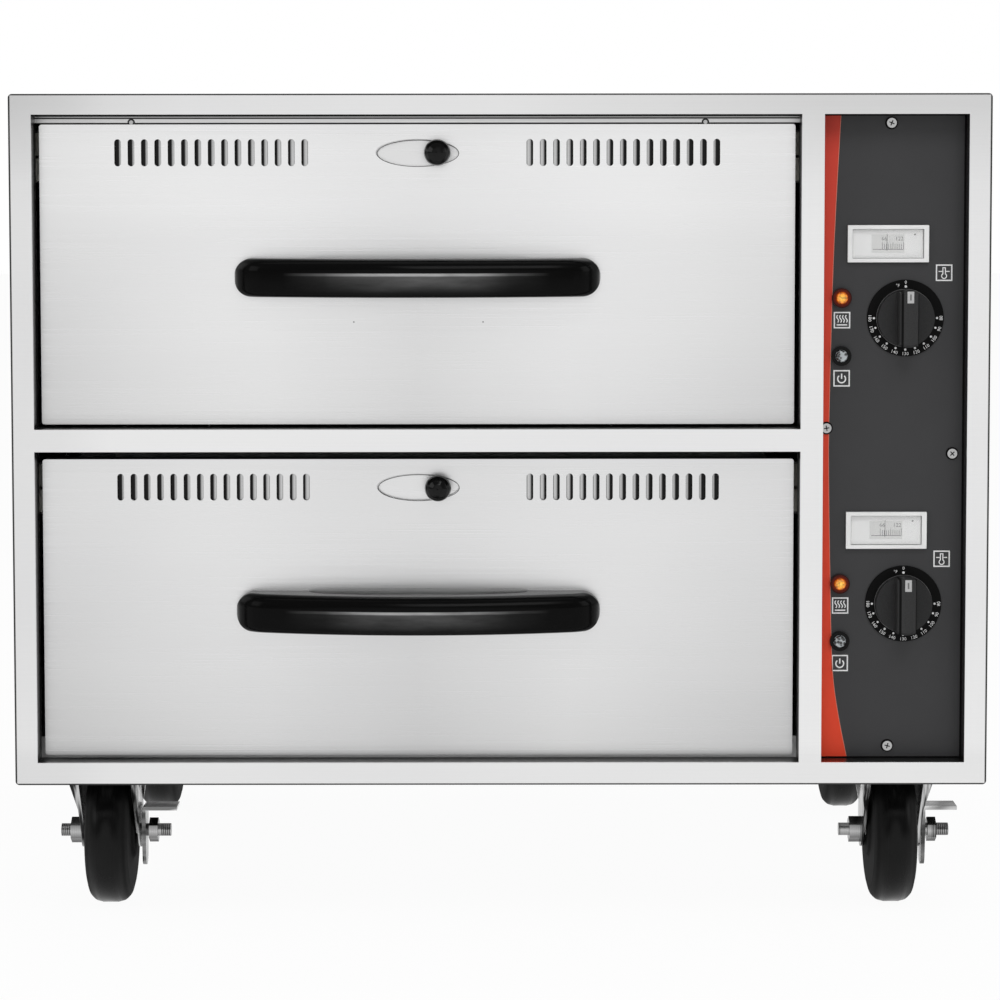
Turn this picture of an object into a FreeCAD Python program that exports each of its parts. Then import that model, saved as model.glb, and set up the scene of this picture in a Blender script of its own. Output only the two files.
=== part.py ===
"""Two-drawer warming cabinet on four swivel casters, as a parametric FreeCAD document.

Millimetres. +X is the cabinet's right as seen from the front, +Y runs to its back and +Z up.
The origin is on the floor, in the middle of the outer box.
"""
import FreeCAD
import Part
import math
import os
import re
import Sketcher

DRIVING = {
    # cabinet
    "cabinet_width": 740,
    "cabinet_height": 525,
    "cabinet_depth": 570,
    "bottom_edge": 115,
    "sheet": 1.2,
    "rail_face": 17,
    "top_bar": 15.5,
    "frame_depth": 24,
    "frame_corner": 3,
    "lip_height": 6.5,
    "flange": 12,
    "fold": 18,
    "recess": 20,
    "panel_opening": 109,
    "panel_sheet": 1.5,
    "shelf_drop": 8,
    "gland_reach": 14,
    # drawers, measured from the lower edge of their opening
    "face_side_gap": 3.25,
    "face_bottom": 2.5,
    "face_height": 228,
    "door_depth": 20,
    "face_corner": 2,
    "vent_below_top": 21.4,
    "slot_width": 5,
    "slot_height": 20.5,
    "slot_pitch": 10.13,
    "slots_per_group": 15,
    "group_offset": 156.3,
    "window_length": 62.8,
    "damper_back": 3,
    "damper_sheet": 1,
    "damper_window": 4.6,
    "vent_knob_offset": 15.3,
    "vent_knob_radius": 10,
    # handles
    "handle_length": 278,
    "handle_height": 29,
    "handle_rise": 45,
    "handle_shoulder": 30,
    "handle_foot": 55,
    "handle_bar": 17,
    "handle_below_top": 115.5,
    # slides and food pan
    "rail_bottom": 186,
    "rail_height": 40,
    "rail_gauge": 1.5,
    "rail_length": 485,
    "runner_length": 420,
    "glide_gap": 0.4,
    "pad_depth": 30,
    "pan_length": 530,
    "pan_width": 325,
    "pan_depth": 150,
    "pan_bottom": 40,
    "pan_sheet": 1,
    "pan_rim": 13,
    "pan_foot": 8,
    "pan_corner": 26,
    "pan_behind_door": 8,
    # heating elements
    "element_radius": 4,
    "element_height": 12,
    "element_turn": 38,
    # control panel, heights measured from the cabinet's lower edge
    "upper_dial_height": 355,
    "lower_dial_height": 136.2,
    "dial_offset": 9.5,
    "dial_radius": 29.2,
    "knob_radius": 21.5,
    "knob_bar": 14.5,
    "knob_depth": 22,
    "lamp_offset": -39,
    "heat_lamp_above": 15.3,
    "power_lamp_below": 28.9,
    "lamp_radius": 7.5,
    "lens_radius": 4.9,
    "meter_above": 56.5,
    "meter_offset": -4,
    "meter_width": 61.7,
    "meter_height": 28.3,
    # casters
    "caster_x": 310,
    "caster_inset": 82,
    "caster_height": 143,
    "wheel_radius": 57,
    "wheel_width": 33.8,
    "tread_shoulder": 11,
    "hub_width": 38,
    "hub_radius": 22.5,
    "trail": 30,
    "fork_gap": 41,
    "fork_sheet": 3,
    "axle_radius": 5,
    "boss_radius": 13.5,
    "kingpin_radius": 6,
}

doc = FreeCAD.newDocument("WarmingCabinet")
sizes = doc.addObject("Spreadsheet::Sheet", "Sizes")
for row, (alias, number) in enumerate(DRIVING.items(), start=1):
    sizes.set(f"A{row}", alias)
    sizes.set(f"B{row}", str(number))
    sizes.setAlias(f"B{row}", alias)
layout = doc.addObject("App::VarSet", "Layout")
probe = doc.addObject("App::VarSet", "Probe")
probe.addProperty("App::PropertyFloat", "answer", "Probe", "the last expression worked out")
doc.recompute()

WORLD_AXES = {
    "X": FreeCAD.Rotation(FreeCAD.Vector(0, 1, 0), 90),
    "Y": FreeCAD.Rotation(FreeCAD.Vector(1, 0, 0), -90),
    "Z": FreeCAD.Rotation(),
}


# ---------------------------------------------------------------- expressions


def bound(text):
    """Writes sheet and layout names in an expression with the object that holds them."""

    def holder(match):
        word = match.group(0)
        if word in DRIVING:
            return f"Sizes.{word}"
        if word in layout.PropertiesList:
            return f"Layout.{word}"
        return word

    return re.sub(r"[a-z_]+", holder, str(text))


def value(text):
    """The number that an expression in sheet and layout names comes to."""
    probe.setExpression("answer", bound(text))
    probe.recompute()
    return probe.answer


def derive(name, text):
    """Adds a layout value that follows the driving dimensions."""
    layout.addProperty("App::PropertyFloat", name, "Layout")
    layout.setExpression(name, bound(text))
    layout.recompute()


def bind(item, **properties):
    """Binds properties to expressions; x, y and z are the placement's position."""
    for name, text in properties.items():
        path = f"Placement.Base.{name}" if name in ("x", "y", "z") else name
        item.setExpression(path, bound(text))


derive("front_y", "-(cabinet_depth + gland_reach + recess - handle_rise) / 2")
derive("back_y", "front_y + cabinet_depth")
derive("left_x", "-cabinet_width / 2")
derive("top_z", "bottom_edge + cabinet_height")
derive("bay_width", "cabinet_width - 3 * rail_face - panel_opening")
derive("bay_height", "(cabinet_height - top_bar - 2 * rail_face) / 2")
derive("bay_x", "left_x + rail_face + bay_width / 2")
derive("bay_wall", "bay_width / 2 + rail_face - sheet")
derive("panel_left", "left_x + 2 * rail_face + bay_width")
derive("panel_x", "panel_left + panel_opening / 2")
derive("lower_z", "bottom_edge + rail_face")
derive("upper_z", "lower_z + bay_height + rail_face")
derive("face_y", "front_y + recess")
derive("inside_y", "front_y + frame_depth")
derive("face_width", "bay_width - 2 * face_side_gap")
derive("door_back", "face_y + door_depth")
derive("base_front", "door_back + 6")
derive("floor_z", "caster_height + sheet")
derive("shelf_z", "upper_z - shelf_drop")
derive("vent_z", "face_bottom + face_height - vent_below_top")
derive("damper_y", "face_y + damper_back")

BAYS = {"upper": "upper_z", "lower": "lower_z"}
SHELVES = {"upper": "shelf_z", "lower": "floor_z"}
DIALS = {"upper": "upper_dial_height", "lower": "lower_dial_height"}
SIDES = (-1, 1)
TREAD_CHORDS = 3
BALL_CHORDS = 8

# ---------------------------------------------------------------- Part primitives and booleans


def box(name, x, y, z, length, width, height):
    """A box from its low corner; every argument is an expression."""
    solid = doc.addObject("Part::Box", name)
    bind(solid, x=x, y=y, z=z, Length=length, Width=width, Height=height)
    return solid


def centred_box(name, x, y, z, length, width, height):
    """A box from the middle of its front lower edge."""
    return box(name, f"{x} - ({length}) / 2", y, z, length, width, height)


def rod(name, axis, x, y, z, radius, length):
    """A cylinder from the middle of its first end, along a world axis."""
    solid = doc.addObject("Part::Cylinder", name)
    solid.Placement.Rotation = WORLD_AXES[axis]
    bind(solid, x=x, y=y, z=z, Radius=radius, Height=length)
    return solid


def hexagon(name, axis, x, y, z, corner_radius, length):
    """A six-sided prism from the middle of its first end, such as a nut or a bolt head."""
    solid = doc.addObject("Part::Prism", name)
    solid.Polygon = 6
    solid.Placement.Rotation = WORLD_AXES[axis]
    bind(solid, x=x, y=y, z=z, Circumradius=corner_radius, Height=length)
    return solid


def fuse(name, *shapes):
    joined = doc.addObject("Part::MultiFuse", name)
    joined.Shapes = list(shapes)
    joined.Refine = True
    return joined


def group(name, *shapes):
    """Separate solids that share one node."""
    together = doc.addObject("Part::Compound", name)
    together.Links = list(shapes)
    return together


def cut(name, base, *tools):
    result = doc.addObject("Part::Cut", name)
    result.Base = base
    result.Tool = tools[0] if len(tools) == 1 else group(f"{name}Tools", *tools)
    return result


# ---------------------------------------------------------------- PartDesign bodies


def new_body(name, x=0, y=0, z=0):
    body = doc.addObject("PartDesign::Body", name)
    bind(body, x=x, y=y, z=z)
    return body


def sketch(body, name, plane, offset=0):
    """A sketch on one of the body's origin planes, moved along the plane's normal."""
    drawn = body.newObject("Sketcher::SketchObject", name)
    planes = [item for item in body.Origin.OriginFeatures if item.Role == plane]
    drawn.AttachmentSupport = [(planes[0], "")]
    drawn.MapMode = "FlatFace"
    drawn.setExpression("AttachmentOffset.Base.z", bound(offset))
    return drawn


def pin(drawn, geometry, point, x, y, kinds=("DistanceX", "DistanceY")):
    """Holds one point of a sketch at a place given by two expressions, or by one of them."""
    texts = {"DistanceX": x, "DistanceY": y}
    for kind in kinds:
        place = value(texts[kind])
        if abs(place) < 1e-9:
            axis = -2 if kind == "DistanceX" else -1
            drawn.addConstraint(Sketcher.Constraint("PointOnObject", geometry, point, axis))
            continue
        index = drawn.addConstraint(Sketcher.Constraint(kind, -1, 1, geometry, point, place))
        drawn.setExpression(f"Constraints[{index}]", bound(texts[kind]))


def rectangle(drawn, left, low, right, high):
    """A rectangle between two corners, each side's place bound to an expression."""
    outline(drawn, [(left, low), (right, low), (right, high), (left, high)])


def circle(drawn, x, y, radius):
    centre = FreeCAD.Vector(value(x), value(y), 0)
    index = drawn.addGeometry(Part.Circle(centre, FreeCAD.Vector(0, 0, 1), value(radius)))
    pin(drawn, index, 3, x, y)
    size = drawn.addConstraint(Sketcher.Constraint("Radius", index, value(radius)))
    drawn.setExpression(f"Constraints[{size}]", bound(radius))


def outline(drawn, points):
    """A closed outline of lines and arcs.

    A point is (x, y). Where an arc leads to it, it is (x, y, (centre_x, centre_y), turn), with a
    turn of 1 for anticlockwise and -1 for clockwise.
    """
    corners = [FreeCAD.Vector(value(point[0]), value(point[1]), 0) for point in points]
    ends = []
    for index, point in enumerate(points):
        start = corners[index - 1]
        end = corners[index]
        head, tail = 1, 2
        if len(point) == 4:
            centre = FreeCAD.Vector(value(point[2][0]), value(point[2][1]), 0)
            round_it = Part.Circle(centre, FreeCAD.Vector(0, 0, 1), (end - centre).Length)
            angles = [math.atan2(spot.y - centre.y, spot.x - centre.x) for spot in (start, end)]
            if point[3] < 0:
                angles.reverse()
                head, tail = 2, 1
            if angles[1] <= angles[0]:
                angles[1] += 2 * math.pi
            geometry = drawn.addGeometry(Part.ArcOfCircle(round_it, *angles))
            chord = end - start
            free = "DistanceY" if abs(chord.x) > abs(chord.y) else "DistanceX"
            pin(drawn, geometry, 3, *point[2], kinds=(free,))
        else:
            geometry = drawn.addGeometry(Part.LineSegment(start, end))
        pin(drawn, geometry, tail, point[0], point[1])
        ends.append((geometry, head, tail))
    for index, (geometry, head, tail) in enumerate(ends):
        before = ends[index - 1]
        drawn.addConstraint(Sketcher.Constraint("Coincident", before[0], before[2], geometry, head))


def feature(body, kind, name, profile, **settings):
    """A sketch-based feature; text settings are expressions and the rest plain values."""
    made = body.newObject(f"PartDesign::{kind}", name)
    made.Profile = profile
    for setting, given in settings.items():
        if isinstance(given, str) and setting in ("Length", "TaperAngle"):
            made.setExpression(setting, bound(given))
        else:
            setattr(made, setting, given)
    profile.Visibility = False
    body.Tip = made
    return made


def remove(body, name, profile, **settings):
    """A pocket that has to take material away."""
    doc.recompute()
    before = body.Shape.Volume
    made = feature(body, "Pocket", name, profile, **settings)
    doc.recompute()
    if body.Shape.Volume >= before - 1e-6:
        raise ValueError(f"{body.Name}.{name} removes nothing")
    return made


def through_all(body, name, profile):
    """A pocket right through the body, both ways from its sketch."""
    return remove(body, name, profile, Type="ThroughAll", Midplane=True)


def near(length, other):
    return abs(length - other) < 0.1


def edges_where(body, wanted):
    """The names of the edges of a body's last feature whose middle point and length pass a test."""
    names = []
    for index, edge in enumerate(body.Tip.Shape.Edges, start=1):
        middle = edge.valueAt((edge.FirstParameter + edge.LastParameter) / 2)
        if wanted(edge, middle):
            names.append(f"Edge{index}")
    return names


def dress(body, kind, name, edges, size):
    """A fillet or a chamfer on named edges of the body's last feature."""
    base = body.Tip
    made = body.newObject(f"PartDesign::{kind}", name)
    made.Base = (base, edges)
    made.setExpression("Radius" if kind == "Fillet" else "Size", bound(size))
    body.Tip = made
    return made


nodes = {}


def node(name, item):
    """Files an object as one of the cabinet's sub-parts."""
    item.Label = name
    nodes[name] = item


# ---------------------------------------------------------------- cabinet


def front_frame():
    """Welded face frame: hollow bars, open at the back, round two drawer bays and the controls."""
    body = new_body("FrontFrame", y="front_y", z="bottom_edge")
    openings = (
        ("left_x + rail_face", "rail_face", "left_x + rail_face + bay_width", "rail_face + bay_height"),
        ("left_x + rail_face", "2 * rail_face + bay_height", "left_x + rail_face + bay_width",
         "cabinet_height - top_bar"),
        ("panel_left", "rail_face", "panel_left + panel_opening", "cabinet_height - top_bar"),
    )
    face = sketch(body, "FrameFace", "XZ_Plane")
    rectangle(face, "left_x", 0, "-left_x", "cabinet_height")
    for left, low, right, high in openings:
        rectangle(face, left, low, right, high)
    feature(body, "Pad", "FrameBars", face, Length="frame_depth", Reversed=True)
    doc.recompute()
    half_width = value("cabinet_width / 2")
    corners = edges_where(
        body,
        lambda edge, middle: near(abs(middle.x), half_width) and near(edge.Length, value("frame_depth")),
    )
    dress(body, "Fillet", "FrameCorners", corners, "frame_corner")
    hollow = sketch(body, "FrameHollow", "XZ_Plane", "-frame_depth")
    rectangle(hollow, "left_x + sheet", "sheet", "-left_x - sheet", "cabinet_height - sheet")
    for left, low, right, high in openings:
        rectangle(hollow, f"{left} - sheet", f"{low} - sheet", f"{right} + sheet", f"{high} + sheet")
    remove(body, "FrameChannel", hollow, Length="frame_depth - sheet", Reversed=True)
    lip = sketch(body, "TopLip", "XZ_Plane", "-frame_depth")
    lip_top = "cabinet_height - top_bar"
    rectangle(lip, "left_x + rail_face", f"{lip_top} - lip_height", "left_x + rail_face + bay_width",
              f"{lip_top} + sheet")
    feature(body, "Pad", "LipSheet", lip, Length="sheet")
    node("front_frame", body)


def outer_panels():
    """Top, sides and back of folded sheet behind the face frame."""
    depth = "back_y - inside_y"
    top = fuse(
        "TopPanel",
        box("TopSheet", "left_x", "inside_y", "top_z - sheet", "cabinet_width", depth, "sheet"),
        box("TopLeftFold", "left_x + sheet", "inside_y", "top_z - sheet - flange",
            "sheet", f"{depth} - 2 * sheet", "flange"),
        box("TopRightFold", "-left_x - 2 * sheet", "inside_y", "top_z - sheet - flange",
            "sheet", f"{depth} - 2 * sheet", "flange"),
    )
    node("top_panel", top)
    hands = {"left": ("left_x", "left_x"), "right": ("-left_x - sheet", "-left_x - flange")}
    for side, (outer, inward) in hands.items():
        panel = fuse(
            f"{side.title()}Side",
            box(f"{side}Sheet", outer, "inside_y", "bottom_edge", "sheet", f"{depth} - sheet",
                "cabinet_height - sheet"),
            box(f"{side}BottomFold", inward, "inside_y", "bottom_edge", "flange", f"{depth} - sheet",
                "sheet"),
            box(f"{side}RearFold", inward, "back_y - 2 * sheet", "bottom_edge", "flange", "sheet",
                "cabinet_height - sheet - flange"),
        )
        node(f"{side}_side_panel", panel)
    back = cut(
        "BackPanel",
        box("BackSheet", "left_x", "back_y - sheet", "bottom_edge", "cabinet_width", "sheet",
            "cabinet_height - sheet"),
        rod("GlandHole", "Y", "panel_x", "back_y - 2 * sheet", "floor_z + 45", 8, "3 * sheet"),
    )
    node("back_panel", back)


def heating_element(bay):
    """Sheathed tubular element: four runs joined by half turns, both ends to the right."""
    title = bay.title()
    height = f"{SHELVES[bay]} + element_height"
    right = "panel_left + 14"
    far = "bay_x - bay_width / 2 + 25 + element_turn"
    close = "panel_left - 60 - element_turn"
    lengths = [f"{right} - ({far})"] + [f"{close} - ({far})"] * 2 + [f"{right} - ({far})"]
    pieces = []
    for run, length in enumerate(lengths):
        y = f"inside_y + 120 + {2 * run} * element_turn"
        pieces.append(rod(f"{title}Run{run}", "X", far, y, height, "element_radius", length))
        if run == len(lengths) - 1:
            break
        turn = doc.addObject("Part::Torus", f"{title}Turn{run}")
        at_far_end = run % 2 == 0
        turn.Placement.Rotation = FreeCAD.Rotation(FreeCAD.Vector(0, 0, 1), 90 if at_far_end else -90)
        turn.Angle3 = 180
        bind(turn, x=far if at_far_end else close, y=f"{y} + element_turn", z=height,
             Radius1="element_turn", Radius2="element_radius")
        pieces.append(turn)
    node(f"{bay}_heating_element", fuse(f"{title}Element", *pieces))


def element_stands(bay):
    """Two pierced strips that carry an element's four runs."""
    strips = []
    for number, place in enumerate(("bay_x - 170", "bay_x + 150")):
        strips.append(box(f"{bay}Stand{number}", place, "inside_y + 105", SHELVES[bay],
                          "1.5", "6 * element_turn + 30", "element_height + 8"))
    return strips


def run_holes(bay, name, x, length):
    """Holes for all four runs of an element."""
    holes = []
    for run in range(4):
        y = f"inside_y + 120 + {2 * run} * element_turn"
        height = f"{SHELVES[bay]} + element_height"
        holes.append(rod(f"{name}{run}", "X", x, y, height, "element_radius", length))
    return holes


def inner_sheets():
    """Floor, shelf and partition, which carry the elements and close off the controls."""
    inner_left = "left_x + sheet"
    rear = "back_y - 2 * sheet"
    floor = fuse(
        "Floor",
        box("FloorSheet", inner_left, "base_front", "caster_height", "cabinet_width - 2 * sheet",
            f"{rear} - base_front", "sheet"),
        box("FloorFrontFold", inner_left, "base_front", "caster_height - fold", "cabinet_width - 2 * sheet",
            "sheet", "fold"),
        box("FloorRearFold", inner_left, f"{rear} - sheet", "caster_height - fold",
            "cabinet_width - 2 * sheet", "sheet", "fold"),
        *element_stands("lower"),
    )
    holes = []
    for number, place in enumerate(("bay_x - 170", "bay_x + 150")):
        holes += run_holes("lower", f"FloorRun{number}_", f"{place} - 1", "4")
    node("base_pan", cut("BasePan", floor, *holes))
    shelf = fuse(
        "Shelf",
        box("ShelfSheet", inner_left, "inside_y", "shelf_z - sheet", "bay_x + bay_wall - left_x - sheet",
            f"{rear} - inside_y", "sheet"),
        box("ShelfFrontFold", inner_left, "inside_y", "shelf_z - fold / 2",
            "bay_x + bay_wall - left_x - sheet", "sheet", "fold / 2"),
        box("ShelfRearFold", inner_left, f"{rear} - sheet", "shelf_z - fold / 2",
            "bay_x + bay_wall - left_x - sheet", "sheet", "fold / 2"),
        *element_stands("upper"),
    )
    holes = []
    for number, place in enumerate(("bay_x - 170", "bay_x + 150")):
        holes += run_holes("upper", f"ShelfRun{number}_", f"{place} - 1", "4")
    node("mid_shelf", cut("MidShelf", shelf, *holes))
    partition = box("PartitionSheet", "bay_x + bay_wall", "inside_y", "floor_z", "sheet",
                    f"{rear} - inside_y", "top_z - sheet - floor_z")
    lead_holes = []
    for bay in BAYS:
        through = run_holes(bay, f"{bay}Lead", "bay_x + bay_wall - 1", "4")
        lead_holes += [through[0], through[3]]
    front_notch = box("PartitionNotch", "bay_x + bay_wall - 1", "inside_y - 1", "floor_z - 1", "4",
                      "base_front - inside_y", "flange")
    node("control_partition", cut("Partition", partition, front_notch, *lead_holes))


def rail_place(side):
    """Where a slide rail's web starts: against the wall on either side of a bay."""
    return "bay_x - bay_wall" if side < 0 else "bay_x + bay_wall - rail_gauge"


def slide_rails():
    """C-shaped drawer rails on the bay walls, with nylon pads at their mouths."""
    rails = []
    pads = []
    reach = "bay_wall - bay_width / 2 + 10"
    for bay, base in BAYS.items():
        for side in SIDES:
            name = f"{bay}{'Left' if side < 0 else 'Right'}"
            low = f"{base} + rail_bottom"
            edge = "bay_x - bay_wall" if side < 0 else f"bay_x + bay_wall - ({reach})"
            rails.append(fuse(
                f"{name}Rail",
                box(f"{name}Web", rail_place(side), "door_back + 3", low, "rail_gauge", "rail_length",
                    "rail_height"),
                box(f"{name}LowFlange", edge, "door_back + 3", low, reach, "rail_length", "rail_gauge"),
                box(f"{name}TopFlange", edge, "door_back + 3", f"{low} + rail_height - rail_gauge", reach,
                    "rail_length", "rail_gauge"),
            ))
            pad_x = "bay_x - bay_wall + rail_gauge" if side < 0 else "bay_x + bay_width / 2 - 9"
            pad_height = "rail_height / 2 - 1.5 * rail_gauge - glide_gap"
            pad_length = "bay_wall - bay_width / 2 + 9 - rail_gauge"
            levels = {
                "Low": f"{low} + rail_gauge",
                "Top": f"{low} + rail_height / 2 + rail_gauge / 2 + glide_gap",
            }
            for level, start in levels.items():
                pads.append(box(f"{name}{level}Pad", pad_x, "door_back + 3", start, pad_length, "pad_depth",
                                pad_height))
    node("slide_rails", group("SlideRails", *rails))
    node("rail_glides", group("RailGlides", *pads))


# ---------------------------------------------------------------- drawers


def linear_pattern(body, name, original, axis, length, count):
    pattern = body.newObject("PartDesign::LinearPattern", name)
    pattern.Originals = [original]
    pattern.Direction = axis
    pattern.setExpression("Length", bound(length))
    pattern.setExpression("Occurrences", bound(count))
    body.Tip = pattern
    return pattern


def slot_outline(drawn, x, z):
    """An upright slot with rounded ends round a centre."""
    half = "slot_width / 2"
    low = f"{z} - (slot_height - slot_width) / 2"
    high = f"{z} + (slot_height - slot_width) / 2"
    outline(drawn, [
        (f"{x} - {half}", low),
        (f"{x} + {half}", low, (x, low), 1),
        (f"{x} + {half}", high),
        (f"{x} - {half}", high, (x, high), 1),
    ])


def drawer_front(bay):
    """Folded outer skin with two groups of vent slots, an oval window and guides for the damper."""
    title = bay.title()
    body = new_body(f"{title}DrawerFront", x="bay_x", y="face_y", z=BAYS[bay])
    face = sketch(body, f"{title}Face", "XZ_Plane")
    rectangle(face, "-face_width / 2", "face_bottom", "face_width / 2", "face_bottom + face_height")
    feature(body, "Pad", f"{title}Tray", face, Length="door_depth", Reversed=True)
    doc.recompute()
    corners = edges_where(body, lambda edge, middle: near(edge.Length, value("door_depth")))
    dress(body, "Fillet", f"{title}TrayCorners", corners, "face_corner")
    hollow = sketch(body, f"{title}TrayHollow", "XZ_Plane", "-door_depth")
    rectangle(hollow, "-face_width / 2 + sheet", "face_bottom + sheet", "face_width / 2 - sheet",
              "face_bottom + face_height - sheet")
    remove(body, f"{title}TrayOpen", hollow, Length="door_depth - sheet", Reversed=True)
    for side, group_name in zip(SIDES, ("Left", "Right")):
        slot = sketch(body, f"{title}{group_name}Slot", "XZ_Plane")
        first = f"{side} * group_offset - (slots_per_group - 1) / 2 * slot_pitch"
        slot_outline(slot, first, "vent_z")
        opened = remove(body, f"{title}{group_name}Vent", slot, Length="2 * sheet")
        linear_pattern(body, f"{title}{group_name}Vents", opened, (slot, ["H_Axis"]),
                       "(slots_per_group - 1) * slot_pitch", "slots_per_group")
    window = sketch(body, f"{title}Window", "XZ_Plane")
    middle = FreeCAD.Vector(0, value("vent_z"), 0)
    major = middle + FreeCAD.Vector(value("window_length / 2"), 0, 0)
    minor = middle + FreeCAD.Vector(0, value("slot_height / 2"), 0)
    window.addGeometry(Part.Ellipse(major, minor, middle))
    remove(body, f"{title}WindowOpen", window, Length="2 * sheet")
    screws = sketch(body, f"{title}ScrewHoles", "XZ_Plane")
    for side in SIDES:
        circle(screws, f"{side} * (handle_length - handle_foot) / 2",
               "face_bottom + face_height - handle_below_top", 2.5)
    remove(body, f"{title}ScrewWay", screws, Length="2 * sheet")
    for up in SIDES:
        guide = sketch(body, f"{title}Guide{'Top' if up > 0 else 'Low'}", "YZ_Plane")
        outline(guide, [
            ("sheet", f"vent_z + {up} * 18"),
            ("damper_back + 2.6", f"vent_z + {up} * 18"),
            ("damper_back + 2.6", f"vent_z + {up} * 12.5"),
            ("damper_back + 1.4", f"vent_z + {up} * 12.5"),
            ("damper_back + 1.4", f"vent_z + {up} * 15.4"),
            ("sheet", f"vent_z + {up} * 15.4"),
        ])
        feature(body, "Pad", f"{title}GuideStrip{'Top' if up > 0 else 'Low'}", guide, Length="470",
                Midplane=True)
    node(f"{bay}_drawer_front", body)


def inner_panel(bay):
    """Flat sheet that closes the back of the drawer front, with a window behind each slot group."""
    title = bay.title()
    base = BAYS[bay]
    sheet_piece = centred_box(
        f"{title}InnerSheet", "bay_x", "door_back - sheet", f"{base} + face_bottom + sheet",
        "face_width - 2 * sheet", "sheet", "face_height - 2 * sheet",
    )
    windows = []
    for side, group_name in zip(SIDES, ("Left", "Right")):
        windows.append(centred_box(
            f"{title}{group_name}InnerWindow", f"bay_x + {side} * group_offset", "door_back - 2 * sheet",
            f"{base} + vent_z - 12", "slots_per_group * slot_pitch + 8", "3 * sheet", "24",
        ))
    node(f"{bay}_drawer_inner_panel", cut(f"{title}InnerPanel", sheet_piece, *windows))


def vent(bay):
    """Sliding plate behind the slots, and the ball knob that moves it."""
    title = bay.title()
    middle_z = f"{BAYS[bay]} + vent_z"
    plate = centred_box(f"{title}DamperPlate", "bay_x + 8", "damper_y", f"{middle_z} - 15", "520",
                        "damper_sheet", "30")
    windows = []
    for side in SIDES:
        first = f"bay_x + {side} * group_offset - (slots_per_group - 2) / 2 * slot_pitch"
        for number in range(DRIVING["slots_per_group"] + 2):
            windows.append(centred_box(
                f"{title}DamperWindow{side + 1}_{number}", f"({first} + {number} * slot_pitch)",
                "damper_y - 1", f"{middle_z} - 9", "damper_window", "damper_sheet + 2", "18",
            ))
    node(f"{bay}_vent_damper", cut(f"{title}Damper", plate, *windows))
    knob = new_body(f"{title}VentKnob", x="bay_x + vent_knob_offset", y="face_y - vent_knob_radius - 1",
                    z=middle_z)
    section = sketch(knob, f"{title}VentKnobSection", "XY_Plane")
    steps = [math.radians(180 * chord / BALL_CHORDS) for chord in range(BALL_CHORDS)]
    outline(section, [
        *[(f"vent_knob_radius * {math.sin(step):.4f}", f"vent_knob_radius * {-math.cos(step):.4f}")
          for step in steps],
        (f"vent_knob_radius * {math.sin(steps[-1]):.4f}", "vent_knob_radius + 1 + damper_back"),
        (0, "vent_knob_radius + 1 + damper_back"),
    ])
    turned = feature(knob, "Revolution", f"{title}VentKnobTurned", section, Angle=360)
    turned.ReferenceAxis = (section, ["V_Axis"])
    node(f"{bay}_vent_knob", knob)


def derive_arch(name, half_length, rise, shoulder):
    """An arch that stands square on a line: a shoulder arc at each end and a bow tangent to both."""
    derive(f"{name}_half", half_length)
    derive(f"{name}_rise", rise)
    derive(f"{name}_shoulder", shoulder)
    derive(f"{name}_centre", f"{name}_half - {name}_shoulder")
    squares = f"{name}_centre * {name}_centre + {name}_rise * {name}_rise - {name}_shoulder * {name}_shoulder"
    derive(f"{name}_bow", f"({squares}) / (2 * ({name}_rise - {name}_shoulder))")
    derive(f"{name}_scale", f"{name}_bow / ({name}_bow - {name}_shoulder)")
    derive(f"{name}_meet_x", f"{name}_centre * {name}_scale")
    derive(f"{name}_meet_y", f"({name}_bow - {name}_rise) * ({name}_scale - 1)")


derive_arch("grip", "handle_length / 2", "handle_rise", "handle_shoulder")
derive_arch("gap", "handle_length / 2 - handle_foot", "handle_rise - handle_bar", "handle_shoulder * 0.6")


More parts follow.
